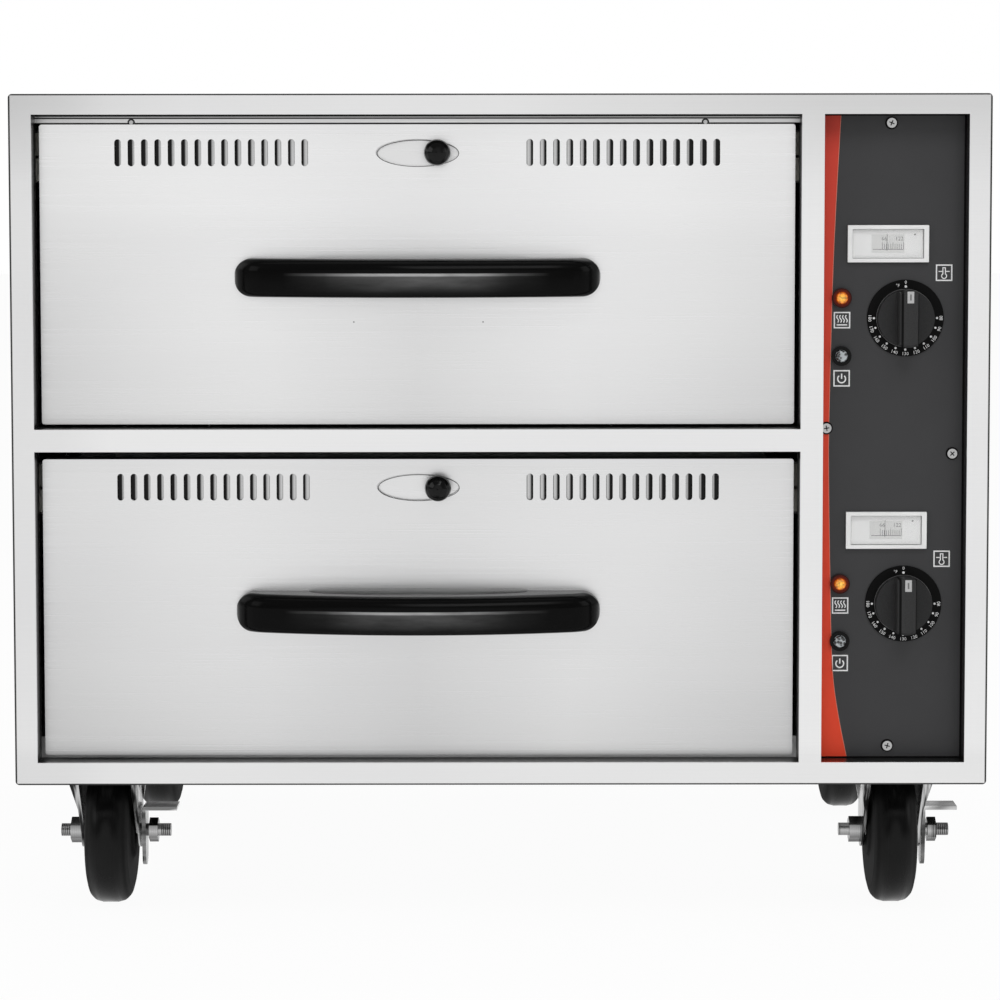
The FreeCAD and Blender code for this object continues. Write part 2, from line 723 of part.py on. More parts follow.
def handle(bay):
    """Moulded bow handle on two long feet, screwed on from inside the drawer front."""
    title = bay.title()
    body = new_body(f"{title}Handle", x="bay_x", y="face_y",
                    z=f"{BAYS[bay]} + face_bottom + face_height - handle_below_top")
    profile = sketch(body, f"{title}Bow", "XY_Plane")
    outline(profile, [
        ("-grip_half", 0),
        ("-grip_meet_x", "-grip_meet_y", ("-grip_centre", 0), 1),
        ("grip_meet_x", "-grip_meet_y", (0, "grip_bow - grip_rise"), 1),
        ("grip_half", 0, ("grip_centre", 0), 1),
        ("gap_half", 0),
        ("gap_meet_x", "-gap_meet_y", ("gap_centre", 0), -1),
        ("-gap_meet_x", "-gap_meet_y", (0, "gap_bow - gap_rise"), -1),
        ("-gap_half", 0, ("-gap_centre", 0), -1),
    ])
    feature(body, "Pad", f"{title}BowBar", profile, Length="handle_height", Midplane=True)
    doc.recompute()
    edge_z = value("handle_height / 2")
    foot = value("gap_half")
    bow_middle = value("(grip_rise + gap_rise) / 2")

    def outside(middle):
        return middle.y < -1 and (abs(middle.x) > foot or middle.y < -bow_middle)

    for name, up, size in (("Brow", 1, 10), ("Chin", -1, 6)):
        found = edges_where(body, lambda edge, middle: near(middle.z, up * edge_z) and outside(middle))
        dress(body, "Fillet", f"{title}{name}", found, size)
        doc.recompute()
    waste = sketch(body, f"{title}HandleEnds", "XZ_Plane")
    for side in SIDES:
        middle = (f"{side} * (grip_half - handle_height / 2)", 0)
        outline(waste, [
            (middle[0], "-handle_height / 2"),
            (f"{side} * grip_half", 0, middle, side),
            (middle[0], "handle_height / 2", middle, side),
            (middle[0], "handle_height"),
            (f"{side} * (grip_half + 5)", "handle_height"),
            (f"{side} * (grip_half + 5)", "-handle_height"),
            (middle[0], "-handle_height"),
        ])
    remove(body, f"{title}HandleRounding", waste, Length="handle_rise + 1", Reversed=True)
    holes = sketch(body, f"{title}HandleHoles", "XZ_Plane")
    for side in SIDES:
        circle(holes, f"{side} * (handle_length - handle_foot) / 2", 0, 2.5)
    remove(body, f"{title}HandleBores", holes, Length="12", Reversed=True)
    node(f"{bay}_drawer_handle", body)
    screws = []
    for side in SIDES:
        x = f"bay_x + {side} * (handle_length - handle_foot) / 2"
        z = f"{BAYS[bay]} + face_bottom + face_height - handle_below_top"
        screws.append(fuse(
            f"{title}HandleScrew{'L' if side < 0 else 'R'}",
            rod(f"{title}Shank{side + 1}", "Y", x, "face_y - 11", z, 2.5, "11 + sheet"),
            rod(f"{title}ScrewHead{side + 1}", "Y", x, "face_y + sheet", z, 4.5, 3),
        ))
    node(f"{bay}_handle_screws", group(f"{title}HandleScrews", *screws))


def drawer_frame(bay):
    """Welded sheet frame: a ledge round the pan, two side walls and the tongues that run in the rails."""
    title = bay.title()
    base = BAYS[bay]
    gauge = "rail_gauge"
    wall = "bay_width / 2 - 14"
    ledge_z = f"{base} + pan_bottom + pan_depth - pan_sheet - rail_gauge"
    ledge_depth = "pan_width + 2 * pan_behind_door"
    ledge = cut(
        f"{title}Ledge",
        centred_box(f"{title}LedgeSheet", "bay_x", "door_back", ledge_z, f"2 * ({wall})", ledge_depth, gauge),
        centred_box(f"{title}LedgeOpening", "bay_x", "door_back + pan_behind_door + 9", f"{ledge_z} - 1",
                    "pan_length - 18", "pan_width - 18", "rail_gauge + 2"),
    )
    pieces = [
        ledge,
        centred_box(f"{title}FrontWall", "bay_x", "door_back", ledge_z, f"2 * ({wall})", gauge, 34),
        centred_box(f"{title}RearWall", "bay_x", f"door_back + {ledge_depth}", ledge_z, f"2 * ({wall})",
                    gauge, 22),
    ]
    for side in SIDES:
        hand = "Left" if side < 0 else "Right"
        inner = f"bay_x - ({wall})" if side < 0 else f"bay_x + {wall} - rail_gauge"
        tongue = "bay_x - bay_width / 2 + 2.5" if side < 0 else f"bay_x + {wall}"
        pieces.append(box(f"{title}{hand}Wall", inner, "door_back", ledge_z, gauge, "runner_length", 34))
        pieces.append(box(f"{title}{hand}Tongue", tongue, "door_back",
                          f"{base} + rail_bottom + rail_height / 2 - rail_gauge / 2", 11.5, "runner_length",
                          gauge))
    node(f"{bay}_drawer_frame", fuse(f"{title}DrawerFrame", *pieces))


def drawer_glides(bay):
    """Nylon blocks on the back ends of the tongues, running inside the rails."""
    title = bay.title()
    base = BAYS[bay]
    glides = []
    for side in SIDES:
        hand = "Left" if side < 0 else "Right"
        x = "bay_x - bay_width / 2 + 2" if side < 0 else "bay_x + bay_width / 2 - 14"
        tongue = "bay_x - bay_width / 2 + 2.5" if side < 0 else "bay_x + bay_width / 2 - 14"
        y = "door_back + runner_length - 30"
        glides.append(cut(
            f"{title}{hand}Glide",
            box(f"{title}{hand}Block", x, y, f"{base} + rail_bottom + rail_gauge + glide_gap", 12, 30,
                "rail_height - 2 * rail_gauge - 2 * glide_gap"),
            box(f"{title}{hand}Groove", tongue, f"{y} - 1",
                f"{base} + rail_bottom + rail_height / 2 - rail_gauge / 2", 11.5, 32, "rail_gauge"),
        ))
    node(f"{bay}_drawer_glides", group(f"{title}DrawerGlides", *glides))


def rounded_rectangle(drawn, length, width, corner):
    """A rectangle round the origin with rounded corners."""
    x, y = f"({length}) / 2", f"({width}) / 2"
    in_x, in_y = f"({x} - {corner})", f"({y} - {corner})"
    outline(drawn, [
        (f"-{x}", f"-{in_y}"),
        (f"-{in_x}", f"-{y}", (f"-{in_x}", f"-{in_y}"), 1),
        (in_x, f"-{y}"),
        (x, f"-{in_y}", (in_x, f"-{in_y}"), 1),
        (x, in_y),
        (in_x, y, (in_x, in_y), 1),
        (f"-{in_x}", y),
        (f"-{x}", in_y, (f"-{in_x}", in_y), 1),
    ])


def pan_blank(bay, name, inset):
    """The pan's outer form, or its inside when inset by the sheet."""
    body = new_body(name, x="bay_x", y="door_back + pan_behind_door + pan_width / 2",
                    z=f"{BAYS[bay]} + pan_bottom")
    slope = "2 * pan_depth * 0.0699"
    bottom = sketch(body, f"{name}Bottom", "XY_Plane", inset)
    rounded_rectangle(bottom, f"pan_length - 2 * pan_rim - {slope} - 2 * {inset}",
                      f"pan_width - 2 * pan_rim - {slope} - 2 * {inset}", f"(pan_corner - {inset})")
    feature(body, "Pad", f"{name}Walls", bottom, Length="pan_depth", TaperAngle="4")
    doc.recompute()
    foot = edges_where(body, lambda edge, middle: near(middle.z, value(inset)))
    dress(body, "Chamfer", f"{name}Foot", foot, f"pan_foot - {inset} / 2")
    return body


def food_pan(bay):
    """Deep drawn pan with sloping walls, hung in the frame by its rim."""
    title = bay.title()
    rim = new_body(f"{title}PanRim", x="bay_x", y="door_back + pan_behind_door + pan_width / 2",
                   z=f"{BAYS[bay]} + pan_bottom + pan_depth - pan_sheet")
    edge = sketch(rim, f"{title}RimOutline", "XY_Plane")
    rounded_rectangle(edge, "pan_length", "pan_width", 50)
    feature(rim, "Pad", f"{title}RimSheet", edge, Length="pan_sheet")
    drawn = fuse(f"{title}PanSolid", pan_blank(bay, f"{title}PanBlank", "0"), rim)
    node(f"{bay}_food_pan", cut(f"{title}Pan", drawn, pan_blank(bay, f"{title}PanCore", "pan_sheet")))


# ---------------------------------------------------------------- controls


def lamp_places():
    """The four pilot lamps: name, whether it is a heat lamp, and height above the cabinet's edge."""
    places = []
    for bay, dial in DIALS.items():
        places.append((f"{bay.title()}Heat", True, f"bottom_edge + {dial} + heat_lamp_above"))
        places.append((f"{bay.title()}Power", False, f"bottom_edge + {dial} - power_lamp_below"))
    return places


def panel_screw_places():
    """Middle of the top and bottom edges, and the two long edges either side of the middle."""
    return (
        ("panel_x - 2", "top_z - top_bar - 6.5"),
        ("panel_left + 4.5", "bottom_edge + cabinet_height / 2 + 8.5"),
        ("panel_left + panel_opening - 8.5", "bottom_edge + cabinet_height / 2 - 11"),
        ("panel_x - 2", "bottom_edge + rail_face + 9.5"),
    )


def control_panel():
    """Painted panel with its holes, and the four screws that hold it."""
    plate = box("PanelSheet", "panel_left", "face_y", "bottom_edge + rail_face", "panel_opening",
                "panel_sheet", "cabinet_height - top_bar - rail_face")
    holes = []
    for bay, dial in DIALS.items():
        holes.append(rod(f"{bay}SpindleHole", "Y", "panel_x + dial_offset", "face_y - 1",
                         f"bottom_edge + {dial}", 5, "panel_sheet + 2"))
        holes.append(centred_box(f"{bay}MeterHole", "panel_x + meter_offset", "face_y - 1",
                                 f"bottom_edge + {dial} + meter_above - meter_height / 2 + 2",
                                 "meter_width - 4", "panel_sheet + 2", "meter_height - 4"))
    for name, _, z in lamp_places():
        holes.append(rod(f"{name}LampHole", "Y", "panel_x + lamp_offset", "face_y - 1", z, 5.5,
                         "panel_sheet + 2"))
    screws = []
    for number, (x, z) in enumerate(panel_screw_places()):
        holes.append(rod(f"PanelScrewHole{number}", "Y", x, "face_y - 1", z, 2, "panel_sheet + 2"))
        screws.append(fuse(
            f"PanelScrew{number}",
            rod(f"PanelShank{number}", "Y", x, "face_y", z, 2, 8),
            rod(f"PanelHead{number}", "Y", x, "face_y - 2.2", z, 3.7, 2.2),
        ))
    node("control_panel", cut("ControlPanel", plate, *holes))
    node("panel_screws", group("PanelScrews", *screws))


def pilot_lamps():
    """Bezel with its holder behind the panel, and a domed lens in it."""
    bezels = []
    lenses = {True: [], False: []}
    for name, is_heat, z in lamp_places():
        x = "panel_x + lamp_offset"
        holder = fuse(
            f"{name}Holder",
            rod(f"{name}Rim", "Y", x, "face_y - 3", z, "lamp_radius", 3),
            rod(f"{name}Barrel", "Y", x, "face_y", z, 5.5, 16),
        )
        bezels.append(cut(
            f"{name}Bezel", holder, rod(f"{name}Well", "Y", x, "face_y - 4", z, "lens_radius", 14),
        ))
        dome = doc.addObject("Part::Sphere", f"{name}Dome")
        bind(dome, x=x, y="face_y - 2", z=z, Radius="lens_radius")
        front_half = rod(f"{name}Front", "Y", x, "face_y - 5", z, "lens_radius + 1", 3)
        cap = doc.addObject("Part::Common", f"{name}Cap")
        cap.Base = dome
        cap.Tool = front_half
        lenses[is_heat].append(fuse(f"{name}Lens", cap, rod(f"{name}Plug", "Y", x, "face_y - 2", z,
                                                            "lens_radius", 6)))
    node("lamp_bezels", group("LampBezels", *bezels))
    node("heat_lamp_lenses", group("HeatLenses", *lenses[True]))
    node("power_lamp_lenses", group("PowerLenses", *lenses[False]))


def thermometers():
    """Framed thermometers with a dial well, and their windows."""
    cases = []
    windows = []
    for bay, dial in DIALS.items():
        x = "panel_x + meter_offset"
        z = f"bottom_edge + {dial} + meter_above"
        shell = fuse(
            f"{bay}MeterShell",
            centred_box(f"{bay}MeterFrame", x, "face_y - 3", f"{z} - meter_height / 2", "meter_width", 3,
                        "meter_height"),
            centred_box(f"{bay}MeterBack", x, "face_y", f"{z} - meter_height / 2 + 2", "meter_width - 4", 20,
                        "meter_height - 4"),
        )
        well = centred_box(f"{bay}MeterWell", x, "face_y - 4", f"{z} - meter_height / 2 + 3",
                           "meter_width - 7.5", 7, "meter_height - 6")
        cases.append(cut(f"{bay}MeterCase", shell, well))
        windows.append(centred_box(f"{bay}MeterWindow", x, "face_y - 2.2", f"{z} - meter_height / 2 + 3",
                                   "meter_width - 7.5", 1.2, "meter_height - 6"))
    node("thermometer_cases", group("ThermometerCases", *cases))
    node("thermometer_windows", group("ThermometerWindows", *windows))


def thermostats():
    """Thermostat switches behind the panel and the numbered rings in front of it."""
    bodies = []
    rings = []
    for bay, dial in DIALS.items():
        z = f"bottom_edge + {dial}"
        x = "panel_x + dial_offset"
        housing = fuse(
            f"{bay}Switch",
            centred_box(f"{bay}SwitchBox", x, "face_y + panel_sheet", f"{z} - 20", 42, 34, 40),
            centred_box(f"{bay}SwitchTerminals", x, "face_y + panel_sheet + 34", f"{z} - 12", 30, 9, 24),
        )
        bodies.append(cut(f"{bay}Thermostat", housing,
                          rod(f"{bay}SpindleBore", "Y", x, "face_y", z, 3.05, 22)))
        rings.append(cut(
            f"{bay}DialRing",
            rod(f"{bay}RingDisc", "Y", x, "face_y - 1.6", z, "dial_radius", 1.6),
            rod(f"{bay}RingHole", "Y", x, "face_y - 3", z, 5, 5),
        ))
    node("thermostats", group("Thermostats", *bodies))
    node("dial_rings", group("DialRings", *rings))


def thermostat_knob(bay):
    """Turned skirt with a raised grip bar across it, pressed on a spindle."""
    title = bay.title()
    body = new_body(f"{title}Knob", x="panel_x + dial_offset", y="face_y - 2",
                    z=f"bottom_edge + {DIALS[bay]}")
    skirt = sketch(body, f"{title}Skirt", "XZ_Plane")
    circle(skirt, 0, 0, "knob_radius")
    feature(body, "Pad", f"{title}SkirtDisc", skirt, Length="knob_depth")
    doc.recompute()
    rim = edges_where(body, lambda edge, middle: near(middle.y, -value("knob_depth")))
    dress(body, "Chamfer", f"{title}KnobRim", rim, 2)
    for side in SIDES:
        waste = sketch(body, f"{title}Waste{side + 1}", "XZ_Plane", "knob_depth")
        inner = f"{side} * knob_bar / 2"
        outer = f"{side} * (knob_radius + 2)"
        left, right = (inner, outer) if side > 0 else (outer, inner)
        rectangle(waste, left, "-knob_radius - 2", right, "knob_radius + 2")
        remove(body, f"{title}Shoulder{side + 1}", waste, Length="knob_depth - 6")
    half_bar = value("knob_bar / 2")
    front = -value("knob_depth")
    grip = edges_where(body, lambda edge, middle: near(abs(middle.x), half_bar) and near(middle.y, front))
    dress(body, "Fillet", f"{title}GripEdge", grip, 2.5)
    bore = sketch(body, f"{title}Bore", "XZ_Plane")
    circle(bore, 0, 0, 3)
    remove(body, f"{title}SpindleSocket", bore, Length="14", Reversed=True)
    node(f"{bay}_thermostat_knob", body)
    spindle = rod(f"{title}Spindle", "Y", "panel_x + dial_offset", "face_y - 16",
                  f"bottom_edge + {DIALS[bay]}", 3, 34)
    node(f"{bay}_thermostat_spindle", spindle)


def supply_parts():
    """Gland in the back panel for the supply cable, and the terminal block inside."""
    height = "floor_z + 45"
    gland = fuse(
        "GlandBody",
        hexagon("GlandNut", "Y", "panel_x", "back_y", height, 13, 6),
        rod("GlandBarrel", "Y", "panel_x", "back_y - 12", height, 8, 14),
        rod("GlandCap", "Y", "panel_x", "back_y + 6", height, 10, "gland_reach - 6"),
        hexagon("GlandLockNut", "Y", "panel_x", "back_y - sheet - 4", height, 12, 4),
    )
    node("cable_gland", cut("Gland", gland, rod("GlandBore", "Y", "panel_x", "back_y - 14", height, 5, 32)))
    block = centred_box("TerminalBase", "panel_x", "back_y - 90", "floor_z", 60, 24, 14)
    walls = []
    for number in range(4):
        walls.append(centred_box(f"TerminalWall{number}", f"panel_x - 27 + {number} * 18", "back_y - 90",
                                 "floor_z", 4, 24, 22))
    node("terminal_block", fuse("TerminalBlock", block, *walls))


# ---------------------------------------------------------------- casters


CASTERS = {
    "front_left": (-1, -1),
    "front_right": (1, -1),
    "rear_left": (-1, 1),
    "rear_right": (1, 1),
}


def caster_place(name):
    """Swivel axis of a caster, as expressions."""
    side, end = CASTERS[name]
    y = "front_y + caster_inset" if end < 0 else "back_y - caster_inset - trail"
    return f"({side} * caster_x)", f"({y})"


def caster_plates():
    """Mounting plates with the fixed half of the raceway and the kingpin."""
    plates = []
    for name in CASTERS:
        x, y = caster_place(name)
        plates.append(fuse(
            f"{name}PlateSet",
            box(f"{name}Plate", f"{x} - 47", f"{y} - 33", "caster_height - 4", 94, 66, 4),
            rod(f"{name}Race", "Z", x, y, "caster_height - 10", 27, 6),
            rod(f"{name}Kingpin", "Z", x, y, "caster_height - 27.5", "kingpin_radius", 20),
            rod(f"{name}KingpinHead", "Z", x, y, "caster_height - 27.5", 9, 3.2),
        ))
    node("caster_plates", group("CasterPlates", *plates))


def fork_outline(drawn, inset):
    """Side view of a fork leg: square shoulders, a swept front edge and a round boss on the axle.

    The sketch's first axis is the cabinet's +Y and its origin the swivel axis at floor level.
    """
    top = f"caster_height - 20.5 - {inset}"
    boss = f"(boss_radius - {inset})"
    outline(drawn, [
        (f"-24 + {inset}", top),
        (f"-24 + {inset}", "wheel_radius + 52"),
        (f"trail - {boss}", "wheel_radius"),
        (f"trail + {boss}", "wheel_radius", ("trail", "wheel_radius"), 1),
        (f"trail + 8 - {inset}", "wheel_radius + 44"),
        (f"trail + 8 - {inset}", top),
    ])


def fork(name):
    """Pressed swivel fork with turned-out edges that fade towards the axle."""
    title = name.title().replace("_", "")
    x, y = caster_place(name)
    body = new_body(f"{title}Fork", x=x, y=y)
    rib_reach = "fork_gap / 2 + fork_sheet + 5"
    side = sketch(body, f"{title}ForkSide", "YZ_Plane")
    fork_outline(side, 0)
    feature(body, "Pad", f"{title}ForkBlank", side, Length=f"2 * ({rib_reach})", Midplane=True)
    inside = sketch(body, f"{title}ForkInside", "XZ_Plane")
    rectangle(inside, "-fork_gap / 2", 0, "fork_gap / 2", "caster_height - 24")
    through_all(body, f"{title}ForkMouth", inside)
    for hand in SIDES:
        flank = sketch(body, f"{title}ForkFlank{hand + 1}", "YZ_Plane",
                       f"{hand} * (fork_gap / 2 + fork_sheet)")
        fork_outline(flank, 2.5)
        remove(body, f"{title}ForkHollow{hand + 1}", flank, Length="6", Reversed=hand > 0)
        wedge = sketch(body, f"{title}ForkWedge{hand + 1}", "XZ_Plane")
        outer_face = f"{hand} * (fork_gap / 2 + fork_sheet)"
        beyond = f"{hand} * ({rib_reach} + 1)"
        outline(wedge, [
            (outer_face, 0),
            (beyond, 0),
            (beyond, "caster_height - 30"),
            (outer_face, "wheel_radius + 22"),
        ])
        through_all(body, f"{title}ForkTaper{hand + 1}", wedge)
    race = sketch(body, f"{title}ForkRace", "XY_Plane", "caster_height - 20.5")
    circle(race, 0, 0, 31)
    feature(body, "Pad", f"{title}ForkCup", race, Length="10.2")
    axle = sketch(body, f"{title}AxleHole", "YZ_Plane")
    circle(axle, "trail", "wheel_radius", "axle_radius")
    through_all(body, f"{title}AxleWay", axle)
    pin_hole = sketch(body, f"{title}KingpinHole", "XY_Plane", "caster_height")
    circle(pin_hole, 0, 0, "kingpin_radius + 0.05")
    remove(body, f"{title}KingpinWay", pin_hole, Length="30")
    node(f"{name}_caster_fork", body)


def wheel(name):
    """Moulded wheel: rounded tread, shallow side recess, raised hub and an axle bore."""
    title = name.title().replace("_", "")
    x, y = caster_place(name)
    body = new_body(f"{title}Wheel", x=x, y=f"{y} + trail", z="wheel_radius")
    section = sketch(body, f"{title}WheelSection", "XZ_Plane")
    bore = "axle_radius + 0.05"
    steps = [math.radians(90 * chord / TREAD_CHORDS) for chord in range(TREAD_CHORDS + 1)]
    shoulder = [
        (f"wheel_width / 2 - tread_shoulder * {1 - math.sin(step):.4f}",
         f"wheel_radius - tread_shoulder * {1 - math.cos(step):.4f}")
        for step in steps
    ]
    outline(section, [
        ("-hub_width / 2", bore),
        ("-hub_width / 2", "hub_radius - 2"),
        ("-wheel_width / 2", "hub_radius"),
        *[(f"-({across})", up) for across, up in reversed(shoulder)],
        *shoulder,
        ("wheel_width / 2", "hub_radius"),
        ("hub_width / 2", "hub_radius - 2"),
        ("hub_width / 2", bore),
    ])
    turned = feature(body, "Revolution", f"{title}WheelTurned", section, Angle=360)
    turned.ReferenceAxis = (section, ["H_Axis"])
    node(f"{name}_wheel", body)


def axle(name):
    """Axle bolt with its head and nut, face to face with the fork."""
    title = name.title().replace("_", "")
    x, y = caster_place(name)
    has_brake = CASTERS[name][1] < 0
    y = f"{y} + trail"
    z = "wheel_radius"
    leg = "fork_gap / 2 + fork_sheet"
    head_gap = "6.2" if has_brake else "0"
    tail = "10" if has_brake else "3"
    bolt = fuse(
        f"{title}Axle",
        rod(f"{title}AxleShank", "X", f"{x} - ({leg}) - 17", y, z, "axle_radius",
            f"2 * ({leg}) + 17 + {head_gap} + 7 + {tail}"),
        hexagon(f"{title}AxleHead", "X", f"{x} + {leg} + {head_gap}", y, z, 9.8, 7),
    )
    nut = cut(
        f"{title}AxleNut",
        hexagon(f"{title}NutBlank", "X", f"{x} - ({leg}) - 9", y, z, 10.4, 9),
        rod(f"{title}NutBore", "X", f"{x} - ({leg}) - 10", y, z, "axle_radius", 11),
    )
    node(f"{name}_caster_axle", group(f"{title}AxleSet", bolt, nut))


def brake_lever(name):
    """Stamped side brake: a plate on the axle with a foot tab turned out at its top."""
    title = name.title().replace("_", "")
    x, y = caster_place(name)
    body = new_body(f"{title}Brake", x=f"{x} + fork_gap / 2 + fork_sheet + 1", y=f"{y} + trail",
                    z="wheel_radius")
    plate = sketch(body, f"{title}BrakePlate", "YZ_Plane")
    outline(plate, [
        (-11, 0),
        (-8, -20),
        (8, -20, (0, -20), 1),
        (11, 0),
        (11, 20.5),
        (-11, 20.5),
    ])
    feature(body, "Pad", f"{title}BrakeSheet", plate, Length="3")
    tab = sketch(body, f"{title}BrakeTab", "XY_Plane", 17.5)
    rectangle(tab, 0, -11, 28, 11)
    feature(body, "Pad", f"{title}BrakeTabSheet", tab, Length="3")
    doc.recompute()
    bend = edges_where(body, lambda edge, middle: near(middle.x, 0) and near(middle.z, 20.5))
    dress(body, "Fillet", f"{title}BrakeBend", bend, 2.5)
    hole = sketch(body, f"{title}BrakeHole", "YZ_Plane")
    circle(hole, 0, 0, "axle_radius + 0.08")
    through_all(body, f"{title}BrakePivot", hole)
    node(f"{name}_brake_lever", body)


# ---------------------------------------------------------------- assembly


def build():
    front_frame()
    outer_panels()
    inner_sheets()
    slide_rails()
    for bay in BAYS:
        heating_element(bay)
        drawer_front(bay)
        inner_panel(bay)
        vent(bay)
        handle(bay)
        drawer_frame(bay)
        drawer_glides(bay)
        food_pan(bay)
        thermostat_knob(bay)
    control_panel()
    pilot_lamps()
    thermometers()
    thermostats()
    supply_parts()
    caster_plates()
    for name, (_, end) in CASTERS.items():
        fork(name)
        wheel(name)
        axle(name)
        if end < 0:
            brake_lever(name)
    doc.recompute()


def check():
    """Stops before anything is written if a feature failed or a shape is unusable."""
    for item in doc.Objects:
        if "Invalid" in item.State or "Error" in item.State:
            raise ValueError(f"{item.Name} failed: {item.State}")
    for name, item in nodes.items():
        if item.Shape.isNull() or not item.Shape.isValid() or not item.Shape.Solids:
            raise ValueError(f"{name} has no valid solid")


def export():
    os.makedirs("parts", exist_ok=True)
    for name, item in nodes.items():
        item.Shape.exportStep(f"parts/{name}.step")
        print(f"{name}: {len(item.Shape.Solids)} solid(s), {item.Shape.Volume / 1000:.1f} cm3")
    print(f"{len(nodes)} nodes")


build()
check()
export()
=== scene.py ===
"""The look of the two-drawer warming cabinet: finishes, printed marks, small screws and studio."""
import math

import bmesh
import bpy
from mathutils import Matrix, Vector


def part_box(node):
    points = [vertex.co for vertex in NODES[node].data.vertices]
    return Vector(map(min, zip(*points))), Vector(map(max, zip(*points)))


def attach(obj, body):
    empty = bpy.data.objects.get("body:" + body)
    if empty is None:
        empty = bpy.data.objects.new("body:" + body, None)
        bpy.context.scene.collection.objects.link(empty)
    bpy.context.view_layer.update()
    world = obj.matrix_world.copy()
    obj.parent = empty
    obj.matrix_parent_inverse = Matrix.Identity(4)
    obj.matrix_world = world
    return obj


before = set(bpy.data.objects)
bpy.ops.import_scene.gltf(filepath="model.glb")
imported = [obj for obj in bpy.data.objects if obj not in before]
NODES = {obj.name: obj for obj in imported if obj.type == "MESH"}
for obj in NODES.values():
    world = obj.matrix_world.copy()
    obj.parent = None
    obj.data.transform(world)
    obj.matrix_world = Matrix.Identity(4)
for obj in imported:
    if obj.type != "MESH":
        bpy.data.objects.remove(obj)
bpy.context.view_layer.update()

MM = 0.001
BAYS = ("upper", "lower")
CORNERS = ("front_left", "front_right", "rear_left", "rear_right")

# ---------------------------------------------------------------- places, read from the frame

PANEL_LOW, PANEL_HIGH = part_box("control_panel")
PANEL_FACE = PANEL_LOW.y
FRAME_LOW, FRAME_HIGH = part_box("front_frame")
FRAME_HALF = (FRAME_HIGH - FRAME_LOW) / 2
FRAME_CENTRE = (FRAME_HIGH + FRAME_LOW) / 2
FRONT_LOW, FRONT_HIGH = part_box("upper_drawer_front")
LIP = FRONT_HIGH.z
SLOT_PITCH = 10.13 * MM
GROUP_OFFSET = 156.3 * MM


def bounds_of(points):
    """The lowest and the highest corner of a set of points."""
    low = Vector([min(point[axis] for point in points) for axis in range(3)])
    high = Vector([max(point[axis] for point in points) for axis in range(3)])
    return low, high


def middle(node):
    """The centre of a node's box."""
    low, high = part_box(node)
    return (low + high) / 2


def bay_half(node, bay):
    """The box of one bay's half of a node that holds a pair of solids, one over the other."""
    points = [vertex.co for vertex in NODES[node].data.vertices]
    split = middle(node).z
    return bounds_of([point for point in points if (point.z > split) == (bay == "upper")])


def clusters(node, reach):
    """The boxes of a node's separate solids, told apart by the room between them."""
    groups = []
    for vertex in NODES[node].data.vertices:
        for group in groups:
            if (group[0] - vertex.co).length < reach:
                group.append(vertex.co)
                break
        else:
            groups.append([vertex.co])
    return [bounds_of(group) for group in groups]


# ---------------------------------------------------------------- node trees


def grey(level):
    return (level, level, level)


class Number:
    """A number or colour that a node gives, with ordinary arithmetic on it."""

    def __init__(self, nodes, socket):
        self.nodes, self.socket = nodes, socket

    def __add__(self, other):
        return self.nodes.math("ADD", self, other)

    def __sub__(self, other):
        return self.nodes.math("SUBTRACT", self, other)

    def __rsub__(self, other):
        return self.nodes.math("SUBTRACT", other, self)

    def __mul__(self, other):
        return self.nodes.math("MULTIPLY", self, other)

    def __lt__(self, other):
        return self.nodes.math("LESS_THAN", self, other)

    def __gt__(self, other):
        return self.nodes.math("GREATER_THAN", self, other)

    def __abs__(self):
        return self.nodes.math("ABSOLUTE", self)


